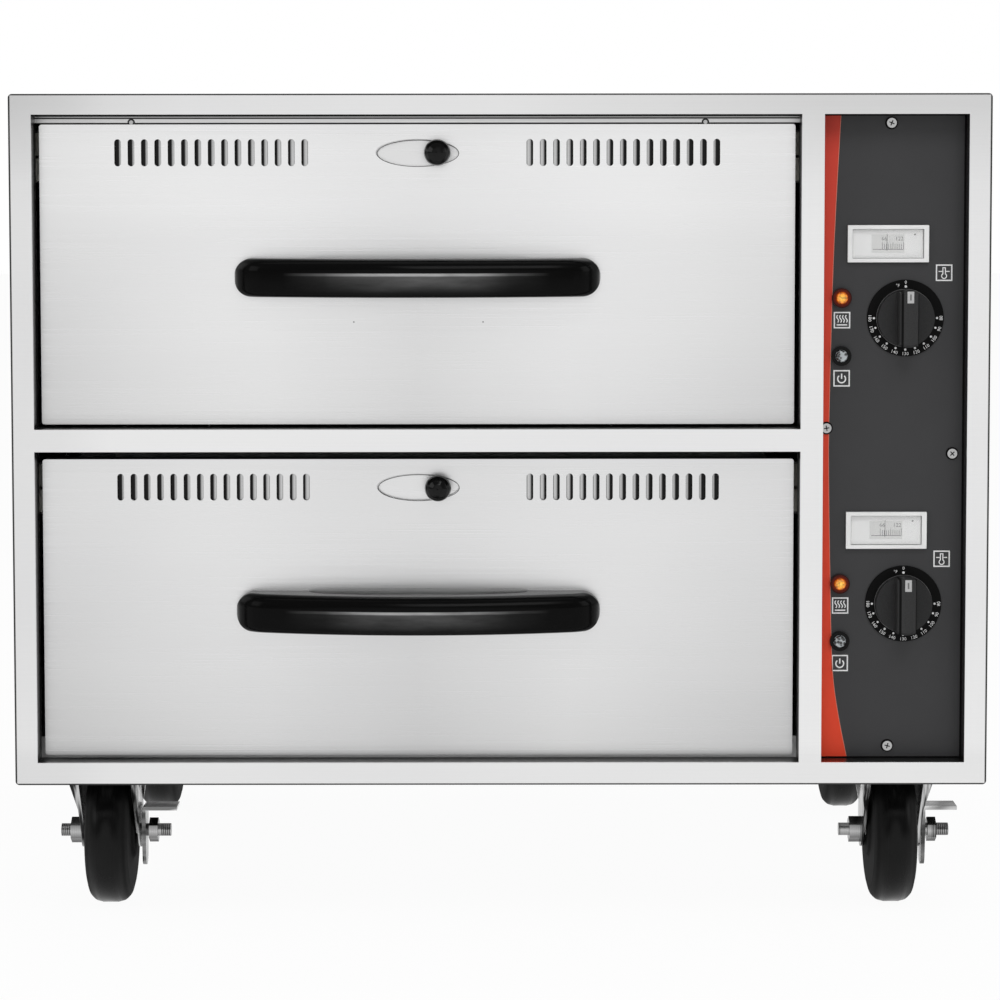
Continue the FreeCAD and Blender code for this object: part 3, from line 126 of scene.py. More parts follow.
class Nodes:
    """Short calls that add nodes to one tree."""

    def __init__(self, tree):
        self.tree = tree

    def feed(self, socket, value):
        """Links a Number or a socket to an input, or sets a plain value on it."""
        if isinstance(value, Number):
            value = value.socket
        if isinstance(value, bpy.types.NodeSocket):
            self.tree.links.new(value, socket)
        else:
            socket.default_value = value

    def make(self, kind, inputs, output, **settings):
        """What a new node gives at an output, with its inputs fed by name or by number."""
        made = self.tree.nodes.new(kind)
        for key, value in settings.items():
            setattr(made, key, value)
        for key, value in inputs.items():
            self.feed(made.inputs[key], value)
        return Number(self, made.outputs[output])

    def math(self, operation, *given):
        """A sum, a comparison or a function of numbers."""
        return self.make("ShaderNodeMath", dict(enumerate(given)), "Value", operation=operation)

    def most(self, first, second):
        return self.math("MAXIMUM", first, second)

    def least(self, first, second):
        return self.math("MINIMUM", first, second)

    def scaled(self, colour, factor):
        """A colour multiplied by a number."""
        return self.make("ShaderNodeVectorMath", {0: colour, "Scale": factor}, "Vector",
                         operation="SCALE")

    def spot(self):
        """The point on the object, in metres."""
        return self.make("ShaderNodeTexCoord", {}, "Object")

    def along(self, axis, spot=None):
        """The point's own X, Y or Z."""
        return self.make("ShaderNodeSeparateXYZ", {"Vector": spot or self.spot()}, axis)

    def place(self, scale):
        """The point on the object, stretched by scale along each axis."""
        return self.make("ShaderNodeMapping", {"Vector": self.spot(), "Scale": scale}, "Vector")

    def noise(self, scale, size, detail=3.0, roughness=0.55):
        """Soft noise of that size, drawn out by scale."""
        inputs = {"Vector": self.place(scale), "Scale": size, "Detail": detail,
                  "Roughness": roughness}
        return self.make("ShaderNodeTexNoise", inputs, "Fac")

    def even_noise(self, size):
        """Soft noise of that size, the same in all directions."""
        return self.noise((1.0, 1.0, 1.0), size)

    def ranged(self, source, low, high, to_low=0.0, to_high=1.0):
        """A number that goes from to_low to to_high while the source goes from low to high."""
        inputs = {"Value": source, "From Min": low, "From Max": high, "To Min": to_low,
                  "To Max": to_high}
        return self.make("ShaderNodeMapRange", inputs, "Result")

    def ramp(self, source, stops, interpolation="LINEAR"):
        """Follows stops, each (share, level or colour), the first at 0 and the last at 1."""
        made = self.make("ShaderNodeValToRGB", {"Fac": source}, "Color")
        ramp = made.socket.node.color_ramp
        ramp.interpolation = interpolation
        for share, _ in stops[1:-1]:
            ramp.elements.new(share)
        for point, (_, level) in zip(ramp.elements, stops):
            point.color = (*(grey(level) if isinstance(level, float) else level), 1)
        return made

    def steps(self, source, low, high, stops):
        """Follows stops while the source goes from low to high."""
        return self.ramp(self.ranged(source, low, high), stops)

    def mix(self, factor, first, second):
        """One shader where the factor is 0 and another where it is 1."""
        return self.make("ShaderNodeMixShader", {"Fac": factor, 1: first, 2: second}, "Shader")


NOISE_LOW, NOISE_HIGH = 0.3, 0.7


class Finish(Nodes):
    """One material round a principled shader."""

    def __init__(self, name, colour, metallic=0.0, roughness=0.5, specular=0.5):
        self.material = bpy.data.materials.new(name)
        self.material.use_nodes = True
        super().__init__(self.material.node_tree)
        self.shader = self.tree.nodes["Principled BSDF"]
        self.set("Base Color", (*colour, 1))
        self.set("Metallic", metallic)
        self.set("Roughness", roughness)
        self.set("Specular IOR Level", specular)

    def set(self, socket, value):
        """Feeds one of the shader's inputs."""
        self.feed(self.shader.inputs[socket], value)

    def shade(self, factor):
        """Multiplies the base colour that is linked so far by a factor."""
        before = self.shader.inputs["Base Color"].links[0].from_socket
        self.set("Base Color", self.scaled(before, factor))

    def tint(self, source, dark, light, start=NOISE_LOW, end=NOISE_HIGH):
        """Drives the base colour between two colours."""
        made = self.make("ShaderNodeValToRGB", {"Fac": source}, "Color")
        ends = made.socket.node.color_ramp.elements
        for element, position, colour in zip(ends, (start, end), (dark, light)):
            element.position = position
            element.color = (*colour, 1)
        self.set("Base Color", made)

    def roughen(self, source, low, high):
        """Drives the roughness between low and high by a noise."""
        self.set("Roughness", self.ranged(source, NOISE_LOW, NOISE_HIGH, low, high))

    def bump(self, source, strength, distance):
        inputs = {"Height": source, "Strength": strength, "Distance": distance}
        self.set("Normal", self.make("ShaderNodeBump", inputs, "Normal"))


def bay_height(finish, node):
    """How far a point is over the middle of its own bay's node, the same in both bays."""
    upper, lower = middle(f"upper_{node}").z, middle(f"lower_{node}").z
    half = (upper - lower) / 2
    return finish.math("WRAP", finish.along("Z") - lower, half, -half)


def from_centre(finish, axis, centre):
    """How far a point is from a place along an axis, to either side."""
    return abs(finish.along(axis) - centre)


# ---------------------------------------------------------------- steel

# The noise's stretch along X, Y and Z, for brushing that runs the other way.
LEVEL_LINES = (6.0, 6.0, 1400.0)
TOP_LINES = (6.0, 1400.0, 6.0)
FRAME_LINES = (9.0, 9.0, 1100.0)
PAN_LINES = (8.0, 8.0, 420.0)

# How far the places of painted shade reach, and how far the slots and ovals lie from a front's
# middle.
RETURN_DEPTH = 6 * MM
FACE_DEPTH = 2.5 * MM
LIP_HEIGHT = 7.2 * MM
OUTLINE_MARGIN = 2.2 * MM
SIDE_EDGE, TOP_EDGE = 2.6 * MM, 2.2 * MM
NEAREST_SLOT, FURTHEST_SLOT = 85 * MM, 228 * MM
OVAL_REACH = 60 * MM


def brushed_steel(name, tone, lines, roughness=0.30):
    """Steel brushed in fine lines. The noise's stretch in lines is small along the brushing."""
    finish = Finish(name, grey(tone), metallic=1.0, roughness=roughness)
    brushing = finish.noise(lines, 1.0, detail=4.0, roughness=0.7)
    clouds = finish.noise((3.0, 3.0, 5.0), 1.0, detail=2.0)
    mixed = finish.math("MULTIPLY_ADD", brushing, 0.55, clouds)
    dark = (tone * 0.93, tone * 0.93, tone * 0.935)
    finish.tint(mixed, dark, (tone, tone, tone * 0.998), 0.55, 1.0)
    finish.roughen(brushing, roughness - 0.05, roughness + 0.08)
    finish.bump(brushing, 0.12, 0.06 * MM)
    return finish


def drawer_steel():
    """The drawer fronts' sheet, with painted shade: darker at both ends, across the middle and low
    down, and dark on the folded edges in the gaps.
    """
    finish = brushed_steel("steel_drawer", 0.92, LEVEL_LINES)
    # Painted shade and light: darker at the ends and in the middle, lighter between.
    waves = 4 * math.pi / (FRONT_HIGH.x - FRONT_LOW.x)
    angle = finish.math("MULTIPLY_ADD", finish.along("X"), waves, -waves * FRONT_LOW.x)
    finish.shade(finish.math("MULTIPLY_ADD", finish.math("COSINE", angle), -0.025, 0.965))
    # Painted shade: the folded edges go dark, as the gaps round the drawers are.
    returns = ((0.0, 1.0), (0.06, 1.0), (0.13, 0.42), (1.0, 0.36))
    finish.shade(finish.steps(finish.along("Y"), FRONT_LOW.y, FRONT_LOW.y + RETURN_DEPTH, returns))
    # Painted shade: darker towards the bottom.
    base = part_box("lower_drawer_front")[0].z
    painted_shade_downwards = ((0.0, 0.78), (0.03, 0.79), (0.14, 0.865), (0.36, 0.905), (0.54, 0.89),
                 (0.67, 0.95), (0.82, 0.955), (0.873, 0.993), (1.0, 1.0))
    finish.shade(finish.steps(finish.along("Z"), base, FRONT_HIGH.z, painted_shade_downwards))
    # Painted shade: darker at the ends and the middle, more so low in each front.
    across = ((0.0, 1.0), (0.12, 0.45), (0.3, 0.0), (0.42, 0.2), (0.5, 0.5), (0.58, 0.2),
              (0.7, 0.0), (0.88, 0.5), (1.0, 1.0))
    ends = finish.steps(finish.along("X"), FRONT_LOW.x, FRONT_HIGH.x, across)
    half = (FRONT_HIGH.z - FRONT_LOW.z) / 2
    painted_shade_low_down = ((0.0, 0.12), (0.35, 0.09), (0.7, 0.02), (1.0, 0.0))
    amount = finish.steps(bay_height(finish, "drawer_front"), -half, half, painted_shade_low_down)
    finish.shade(1.0 - ends * amount)
    return finish.material


def frame_steel():
    """The face frame's bars, with painted shade: their returns into the openings are dark, as the
    gaps are, with dark lines along the lip, a little darker at the left and the bottom, and darker
    in places along the top rail, most at its corners.
    """
    finish = brushed_steel("steel_frame", 0.88, FRAME_LINES, roughness=0.33)
    # Painted shade: the returns into the openings go dark as the gaps do, though not at the frame's
    # outer edges.
    depths = ((0.0, 1.0), (0.06, 1.0), (0.16, 0.16), (0.88, 0.10), (0.93, 0.9), (1.0, 0.9))
    returns = finish.steps(finish.along("Y"), FRAME_LOW.y, FRAME_HIGH.y, depths)
    finish.shade(finish.most(returns, 1.0 - inside_frame(finish)))
    # Painted shade: dark lines along the lip over the upper drawer.
    heights = ((0.0, 0.04), (0.16, 0.04), (0.2, 1.0), (0.54, 1.0), (0.6, 0.04), (0.70, 0.04),
               (0.74, 0.7), (0.8, 0.7), (0.84, 0.03), (1.0, 0.03))
    lines = finish.steps(finish.along("Z"), LIP, LIP + LIP_HEIGHT, heights)
    in_front = finish.along("Y") < FRAME_HIGH.y - FACE_DEPTH
    under_lip = finish.along("Z") < LIP - 1 * MM
    finish.shade(finish.most(lines, finish.most(in_front, under_lip)))
    # Painted shade: a little darker at the left and at the bottom.
    left = ((0.0, 0.94), (0.05, 0.94), (0.1, 1.0), (1.0, 1.0))
    finish.shade(finish.steps(finish.along("X"), FRAME_LOW.x, FRAME_HIGH.x, left))
    bottom = ((0.0, 0.95), (0.04, 0.95), (0.06, 1.0), (1.0, 1.0))
    finish.shade(finish.steps(finish.along("Z"), FRAME_LOW.z, FRAME_HIGH.z, bottom))
    # Painted shade: darker in places along the top rail, most at its corners, fading out downwards.
    top_rail = ((0.0, 0.78), (0.1, 0.9), (0.18, 0.96), (0.5, 0.95), (0.67, 0.87), (0.83, 0.79),
                (1.0, 0.81))
    painted_rail_shade = finish.steps(finish.along("X"), FRAME_LOW.x, FRAME_HIGH.x, top_rail)
    upwards = ((0.0, 0.0), (0.3, 0.1), (0.7, 0.6), (1.0, 1.0))
    fade = finish.steps(finish.along("Z"), LIP - 70 * MM, LIP + 14 * MM, upwards)
    finish.shade(1.0 - (1.0 - painted_rail_shade) * fade)
    finish.shade(frame_edge(finish))
    return finish.material


def inside_frame(finish):
    """1 well inside the frame's outline as seen from the front, and 0 at its edges."""
    across = from_centre(finish, "X", FRAME_CENTRE.x) < FRAME_HALF.x - OUTLINE_MARGIN
    up = from_centre(finish, "Z", FRAME_CENTRE.z) < FRAME_HALF.z - OUTLINE_MARGIN
    return finish.least(across, up)


def frame_edge(finish):
    """Painted shade: dark along the frame's outer edges, where the sheet turns back, and 1
    elsewhere.
    """
    dark_line = ((0.0, 1.0), (0.4, 1.0), (0.58, 0.06), (1.0, 0.06))
    across = finish.steps(from_centre(finish, "X", FRAME_CENTRE.x), FRAME_HALF.x - SIDE_EDGE,
                          FRAME_HALF.x, dark_line)
    up = finish.steps(from_centre(finish, "Z", FRAME_CENTRE.z), FRAME_HALF.z - TOP_EDGE,
                      FRAME_HALF.z, dark_line)
    behind = finish.along("Y") > FRAME_LOW.y + FACE_DEPTH
    return finish.most(behind, finish.least(across, up))


def damper_steel():
    """The vent plate, closed at rest, with painted shade and light: dark at each slot's outer side,
    light towards the middle, and a dark line at each slot's inner edge.
    """
    finish = brushed_steel("steel_damper", 0.80, LEVEL_LINES)
    outward = from_centre(finish, "X", middle("upper_drawer_front").x)
    slot = finish.math("WRAP", outward - GROUP_OFFSET, SLOT_PITCH / 2, -SLOT_PITCH / 2)
    strip = finish.ranged(outward, NEAREST_SLOT, FURTHEST_SLOT, 0.9 * MM, -0.8 * MM)
    # Painted light and shade: a light strip at each slot's inner side, dark at its outer side.
    light_strip = ((0.0, 0.74), (0.5, 0.55), (0.85, 0.2), (1.0, 0.02))
    lit = finish.steps(slot - strip, -1.6 * MM, 0.3 * MM, light_strip)
    # Painted shade: a dark line at each slot's inner edge.
    dark_rim = ((0.0, 0.15), (0.35, 0.15), (0.6, 1.0), (1.0, 1.0))
    rim = finish.steps(slot, -2.6 * MM, -1.4 * MM, dark_rim)
    finish.shade(finish.most(lit * rim, outward < OVAL_REACH))
    return finish.material


# ---------------------------------------------------------------- metal, plastic, rubber and ink

MOULD_GRAIN = 900.0
GRAIN_DEPTH = 0.04 * MM
FACET_SCALE = 480.0
LENS_RADIUS = 4.9 * MM


def plain_metal(name, tone, roughness, size=60.0):
    """Smooth metal with faint cloudy variation."""
    finish = Finish(name, grey(tone), metallic=1.0, roughness=roughness)
    clouds = finish.even_noise(size)
    finish.tint(clouds, grey(tone * 0.86), grey(tone))
    finish.roughen(clouds, roughness - 0.05, roughness + 0.08)
    finish.bump(clouds, 0.05, 0.1 * MM)
    return finish.material


def moulded(name, colour, roughness, grain=MOULD_GRAIN, metallic=0.0, specular=0.5):
    """Plastic, rubber or paint with a fine moulded or sprayed grain."""
    finish = Finish(name, colour, metallic, roughness, specular)
    fine = finish.even_noise(grain)
    broad = finish.even_noise(14.0)
    finish.tint(broad, tuple(part * 0.88 for part in colour), colour)
    finish.roughen(broad, roughness - 0.04, roughness + 0.05)
    finish.bump(fine, 0.12, GRAIN_DEPTH)
    return finish.material


def printed(name, colour, roughness=0.5):
    """Screen-printed ink."""
    finish = Finish(name, colour, roughness=roughness)
    speckle = finish.even_noise(1500.0)
    finish.tint(speckle, tuple(part * 0.9 for part in colour), colour)
    finish.bump(speckle, 0.05, 0.02 * MM)
    return finish.material


def red_ink():
    """The panel's red stripe: deeper at the top, brighter towards the bottom."""
    finish = Finish("red_ink", (0.52, 0.045, 0.022), roughness=0.42, specular=0.2)
    height = finish.ranged(finish.along("Z"), PANEL_LOW.z, PANEL_HIGH.z)
    finish.tint(height, (0.92, 0.075, 0.030), (0.66, 0.062, 0.040), 0.0, 1.0)
    return finish.material


def lamp_radius(finish):
    """How far a point is from the axis of its heat lamp, where one lamp sits over the other."""
    (low, high), (other_low, other_high) = (bay_half("heat_lamp_lenses", bay) for bay in BAYS)
    upper, lower = (low.z + high.z) / 2, (other_low.z + other_high.z) / 2
    across = finish.along("X") - (low.x + high.x) / 2
    up = from_centre(finish, "Z", (upper + lower) / 2) - (upper - lower) / 2
    return finish.math("SQRT", across * across + up * up)


def lens_facets(finish):
    """The facets moulded into a lamp's lens."""
    facets = finish.make("ShaderNodeTexVoronoi",
                         {"Vector": finish.place((1.0, 1.0, 1.0)), "Scale": FACET_SCALE},
                         "Distance")
    finish.bump(facets, 0.5, 0.4 * MM)
    finish.set("Coat Weight", 0.4)
    return facets


def amber_lens():
    """The lit heat lamp: yellow in the middle, deep orange at its edge."""
    finish = Finish("amber_lens", (0.90, 0.33, 0.02), roughness=0.14)
    facets = lens_facets(finish)
    warm = ((0.0, (1.0, 0.62, 0.10)), (0.45, (1.0, 0.45, 0.03)), (0.8, (0.85, 0.20, 0.01)),
            (1.0, (0.35, 0.03, 0.005)))
    rings = finish.steps(lamp_radius(finish), 0.0, LENS_RADIUS, warm)
    uneven = finish.steps(facets, 0.1, 0.8, ((0.0, 1.0), (0.5, 0.75), (1.0, 0.35)))
    glow = finish.scaled(rings, uneven)
    finish.set("Base Color", glow)
    finish.set("Emission Color", glow)
    finish.set("Emission Strength", 0.45)
    return finish.material


def smoke_lens():
    """The unlit power lamp."""
    colour = (0.50, 0.54, 0.56)
    finish = Finish("smoke_lens", colour, roughness=0.12)
    finish.tint(lens_facets(finish), tuple(part * 0.03 for part in colour), colour, 0.42, 0.72)
    return finish.material


def bezel_black():
    """The lamps' bezels: black, dark red close round each heat lamp's lens and fading to black
    further out.
    """
    black, dark_red = grey(0.004), (0.14, 0.014, 0.006)
    finish = Finish("lamp_bezel", black, roughness=0.3, specular=0.12)
    rings = ((0.0, dark_red), (0.38, dark_red), (0.52, (0.025, 0.004, 0.003)), (1.0, black))
    finish.set("Base Color", finish.steps(lamp_radius(finish), 0.0, 14 * MM, rings))
    finish.roughen(finish.even_noise(MOULD_GRAIN), 0.24, 0.36)
    return finish.material


def handle_black():
    """Gloss black plastic with a painted highlight: greyer along the middle of the grip's front,
    brightest in a thin line just over half its height.
    """
    finish = Finish("handle_black", grey(0.004), roughness=0.16, specular=0.05)
    low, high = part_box("upper_drawer_handle")
    reach, half = (high.x - low.x) / 2, (high.z - low.z) / 2
    # Painted highlight: greyest at the middle of the grip, fading to the ends, with a thin bright
    # line over the middle height.
    outward = ((0.0, 1.0), (0.28, 0.7), (0.5, 0.16), (0.72, 0.0), (1.0, 0.0))
    painted_highlight_across = finish.steps(from_centre(finish, "X", low.x + reach), 0.0, reach, outward)
    heights = ((0.0, 0.0), (0.12, 0.02), (0.3, 0.13), (0.55, 0.24), (0.575, 1.0), (0.625, 1.0),
               (0.64, 0.0), (1.0, 0.0))
    sheen = finish.steps(bay_height(finish, "drawer_handle"), -half, half, heights)
    haze = finish.noise((8.0, 8.0, 40.0), 3.0)
    finish.tint(painted_highlight_across * sheen * haze, grey(0.0035), grey(0.42), 0.0, 0.5)
    finish.roughen(haze, 0.13, 0.20)
    return finish.material


def knob_black():
    """The knobs' satin black, with painted shade in dark lines along both sides of the raised grip,
    and a painted highlight on the grip between them.
    """
    finish = Finish("grip_black", (0.034, 0.034, 0.035), roughness=0.42, specular=0.08)
    grain = finish.even_noise(MOULD_GRAIN)
    finish.tint(grain, grey(0.031), (0.037, 0.037, 0.038))
    centre, reach = middle("upper_thermostat_knob").x, 12 * MM
    # Painted shade beside the grip, painted highlight on it.
    painted_grip_shade = ((0.0, 1.0), (0.25, 1.0), (0.27, 0.08), (0.325, 0.08), (0.345, 1.25), (0.85, 1.1),
              (0.86, 0.08), (0.885, 0.08), (0.90, 1.0), (1.0, 1.0))
    finish.shade(finish.steps(finish.along("X"), centre - reach, centre + reach, painted_grip_shade))
    finish.bump(grain, 0.12, GRAIN_DEPTH)
    return finish.material


def wheel_black():
    """Near-black rubber: smooth and slightly crowned on the tread, dull at the sides."""
    finish = Finish("wheel_black", grey(0.006), roughness=0.3, specular=0.14)
    across = abs(finish.along("X")) - abs(middle("front_left_wheel").x)
    crown_radius, half_width = 40 * MM, 20 * MM
    finish.bump(across * across * (-0.5 / crown_radius), 1.0, 1.0)
    sides = ((0.0, 0.20), (0.45, 0.30), (0.7, 0.75), (1.0, 0.9))
    finish.set("Roughness", finish.steps(abs(across), 0.0, half_width, sides))
    finish.tint(finish.even_noise(40.0), grey(0.0045), grey(0.007))
    return finish.material


def fork_zinc():
    """Bright zinc on the forks, with painted reflections: hard streaks of light and dark, as on a
    curved polished pressing.
    """
    finish = Finish("zinc_fork", grey(0.4), metallic=1.0, roughness=0.2)
    # Painted reflections: streaks of hard light and dark in the colour.
    streaks = finish.noise((260.0, 30.0, 16.0), 1.0, detail=2.0)
    finish.tint(streaks, grey(0.015), grey(0.55), 0.44, 0.62)
    finish.bump(streaks, 0.1, 0.2 * MM)
    return finish.material


def axle_zinc():
    """The axle bolts, with painted light and shade: light and dark bands like a thread's ribs at
    both ends, and a painted highlight at half their height, darker above and below.
    """
    finish = Finish("zinc_axle", grey(0.5), metallic=1.0, roughness=0.24)
    low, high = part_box("front_left_caster_axle")
    pitch, bolt_end = 1.5 * MM, 7.5 * MM
    # Painted light and shade: bands like a thread's ribs.
    thread = finish.math("SINE", finish.along("X") * (2 * math.pi / pitch))
    across = abs(finish.along("X")) - abs(low.x + high.x) / 2
    nuts = abs(across) < (high.x - low.x) / 2 - bolt_end
    finish.tint(finish.most(nuts * 0.8, thread), grey(0.10), grey(0.55), 0.0, 1.0)
    # Painted highlight at half the bolts' height, darker above and below.
    height, reach = (low.z + high.z) / 2, 10 * MM
    heights = ((0.0, 0.05), (0.12, 0.10), (0.3, 0.5), (0.5, 1.0), (0.7, 0.6), (0.85, 0.12),
               (1.0, 0.05))
    finish.shade(finish.steps(finish.along("Z"), height - reach, height + reach, heights))
    return finish.material


def lever_zinc():
    """The brake levers, with painted light and shade: bright upper face and edge, greyer where the
    pressing hangs down.
    """
    finish = Finish("zinc_lever", grey(0.5), metallic=1.0, roughness=0.2)
    low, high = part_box("front_left_brake_lever")
    clouds = finish.noise((24.0, 24.0, 90.0), 1.0, detail=2.0)
    finish.tint(clouds, grey(0.12), grey(0.50), 0.40, 0.62)
    # Painted light on the upper face and edge, painted shade lower down.
    heights = ((0.0, 0.5), (0.6, 0.5), (0.78, 0.55), (0.9, 0.7), (0.94, 1.6), (1.0, 1.6))
    finish.shade(finish.steps(finish.along("Z"), low.z, high.z, heights))
    return finish.material


def clear_window():
    """The thin clear window over a thermometer's dial."""
    finish = Finish("meter_window", (0.97, 0.98, 0.98), roughness=0.03)
    finish.set("Alpha", 0.10)
    finish.roughen(finish.even_noise(40.0), 0.02, 0.07)
    return finish.material


# ---------------------------------------------------------------- finishes on the nodes

WHEEL_BLACK, FORK_ZINC, AXLE_ZINC = wheel_black(), fork_zinc(), axle_zinc()
BRIGHT_ZINC = plain_metal("zinc_bright", 0.48, 0.18, size=160.0)
DIAL_BLACK = moulded("dial_black", grey(0.0035), 0.38, specular=0.06)
METER_PAPER = printed("meter_paper", (0.98, 0.98, 0.975))
METER_CARD = printed("meter_card", (0.80, 0.80, 0.79))
WHITE_INK = printed("white_ink", grey(0.93))
BLACK_INK = printed("black_ink", (0.025, 0.025, 0.027))
GREY_INK = printed("grey_ink", grey(0.16))
EDGE_GREY = printed("edge_grey", grey(0.11))
POINTER_GREY = printed("pointer_grey", grey(0.52))
RED_INK = red_ink()
RED_EDGE = printed("red_edge", (0.75, 0.28, 0.20))


def both(piece):
    """The names of a piece's nodes in the two bays."""
    return [f"{bay}_{piece}" for bay in BAYS]


def all_casters(piece):
    """The names of a piece's nodes at the four corners."""
    return [f"{corner}_{piece}" for corner in CORNERS]


BRAKE_LEVERS = ["front_left_brake_lever", "front_right_brake_lever"]
NODE_FINISHES = (
    (brushed_steel("steel_level", 0.83, LEVEL_LINES).material,
     ["left_side_panel", "right_side_panel", "back_panel"]),
    (drawer_steel(), both("drawer_front")),
    (damper_steel(), both("vent_damper")),
    (frame_steel(), ["front_frame"]),
    (brushed_steel("steel_top", 0.80, TOP_LINES).material, ["top_panel"]),
    (brushed_steel("steel_inner", 0.60, TOP_LINES, roughness=0.38).material,
     ["base_pan", "mid_shelf", "control_partition", *both("drawer_inner_panel"),
      *both("drawer_frame")]),
    (brushed_steel("steel_pan", 0.72, PAN_LINES, roughness=0.26).material, both("food_pan")),
    # Painted shade: the slide rails' zinc is near black, as dark as the gaps where they show.
    (plain_metal("zinc_rail", 0.09, 0.30), ["slide_rails"]),
    (plain_metal("zinc", 0.62, 0.22, size=120.0),
     ["caster_plates", *both("handle_screws"), *both("thermostat_spindle")]),
    (BRIGHT_ZINC, ["panel_screws"]),
    (lever_zinc(), BRAKE_LEVERS),
    (FORK_ZINC, all_casters("caster_fork")),
    (AXLE_ZINC, all_casters("caster_axle")),
    (WHEEL_BLACK, all_casters("wheel")),
    (moulded("nylon", (0.78, 0.77, 0.70), 0.45), ["rail_glides", *both("drawer_glides")]),
    (moulded("element_sheath", (0.10, 0.095, 0.09), 0.55, grain=200.0, metallic=0.7),
     both("heating_element")),
    (moulded("panel_paint", (0.046, 0.046, 0.048), 0.46, specular=0.30), ["control_panel"]),
    (DIAL_BLACK, ["dial_rings"]),
    (bezel_black(), ["lamp_bezels"]),
    (knob_black(), both("thermostat_knob")),
    (handle_black(), both("drawer_handle")),
    (moulded("gloss_black", grey(0.004), 0.12, grain=300.0, specular=0.18), both("vent_knob")),
    (moulded("grey_plastic", (0.09, 0.09, 0.095), 0.5),
     ["thermostats", "terminal_block", "cable_gland"]),
    (amber_lens(), ["heat_lamp_lenses"]),
    (smoke_lens(), ["power_lamp_lenses"]),
    (moulded("meter_white", (0.98, 0.98, 0.975), 0.30), ["thermometer_cases"]),
    (clear_window(), ["thermometer_windows"]),
)
for material, names in NODE_FINISHES:
    for name in names:
        for slot in NODES[name].material_slots:
            slot.link = "OBJECT"
            slot.material = material


def soften(names, width, angle=30, segments=2):
    """Rounds the nodes' edges by a hair, so that they catch the light as worked metal does."""
    for name in names:
        welded = NODES[name].modifiers.new("joined_corners", "WELD")
        welded.merge_threshold = 0.02 * MM
        rounding = NODES[name].modifiers.new("soft_edges", "BEVEL")
        rounding.width = width
        rounding.segments = segments
        rounding.limit_method = "ANGLE"
        rounding.angle_limit = math.radians(angle)
        rounding.harden_normals = True


soften(["front_frame"], 1.5 * MM, segments=3)
soften(both("drawer_front"), 0.8 * MM, angle=60)
soften(both("thermostat_knob"), 0.5 * MM)
soften(both("food_pan"), 0.3 * MM, angle=40)
soften(both("drawer_handle"), 1.6 * MM, angle=25, segments=3)
soften(["left_side_panel", "right_side_panel", "top_panel"], 0.4 * MM)
soften(["dial_rings", "thermometer_cases"], 0.4 * MM)
soften(all_casters("wheel"), 2.2 * MM, angle=20, segments=3)
soften(both("vent_knob"), 1.5 * MM, angle=15, segments=3)
soften(all_casters("caster_fork") + all_casters("caster_axle"), 0.5 * MM)
soften(BRAKE_LEVERS, 0.5 * MM)

# ---------------------------------------------------------------- printed marks

INK_THICKNESS = 0.12 * MM
FINE_LINE = 0.45 * MM


def rectangle(x, z, width, height):
    """The corners of a rectangle with its middle at x, z."""
    left, right, low, high = x - width / 2, x + width / 2, z - height / 2, z + height / 2
    return [(left, low), (right, low), (right, high), (left, high)]


def ellipse(x, z, half_width, half_height, sides=64):
    """Points round an ellipse."""
    angles = [2 * math.pi * side / sides for side in range(sides)]
    return [(x + half_width * math.cos(angle), z + half_height * math.sin(angle))
            for angle in angles]


def arc(x, z, radius, start, end, steps):
    """Points along an arc between two angles in degrees."""
    angles = [math.radians(start + (end - start) * step / steps) for step in range(steps + 1)]
    return [(x + radius * math.cos(angle), z + radius * math.sin(angle)) for angle in angles]


def smooth_line(points, steps):
    """Catmull-Rom points through a short list of chosen points."""
    ends = [points[0], *points, points[-1]]
    line = []
    for index in range(1, len(ends) - 2):
        p0, p1, p2, p3 = (Vector(ends[index + offset]) for offset in (-1, 0, 1, 2))
        for step in range(steps):
            t = step / steps
            spot = 0.5 * (2 * p1 + (p2 - p0) * t + (2 * p0 - 5 * p1 + 4 * p2 - p3) * t * t
                          + (3 * p1 - p0 - 3 * p2 + p3) * t ** 3)
            line.append(tuple(spot))
    line.append(points[-1])
    return line


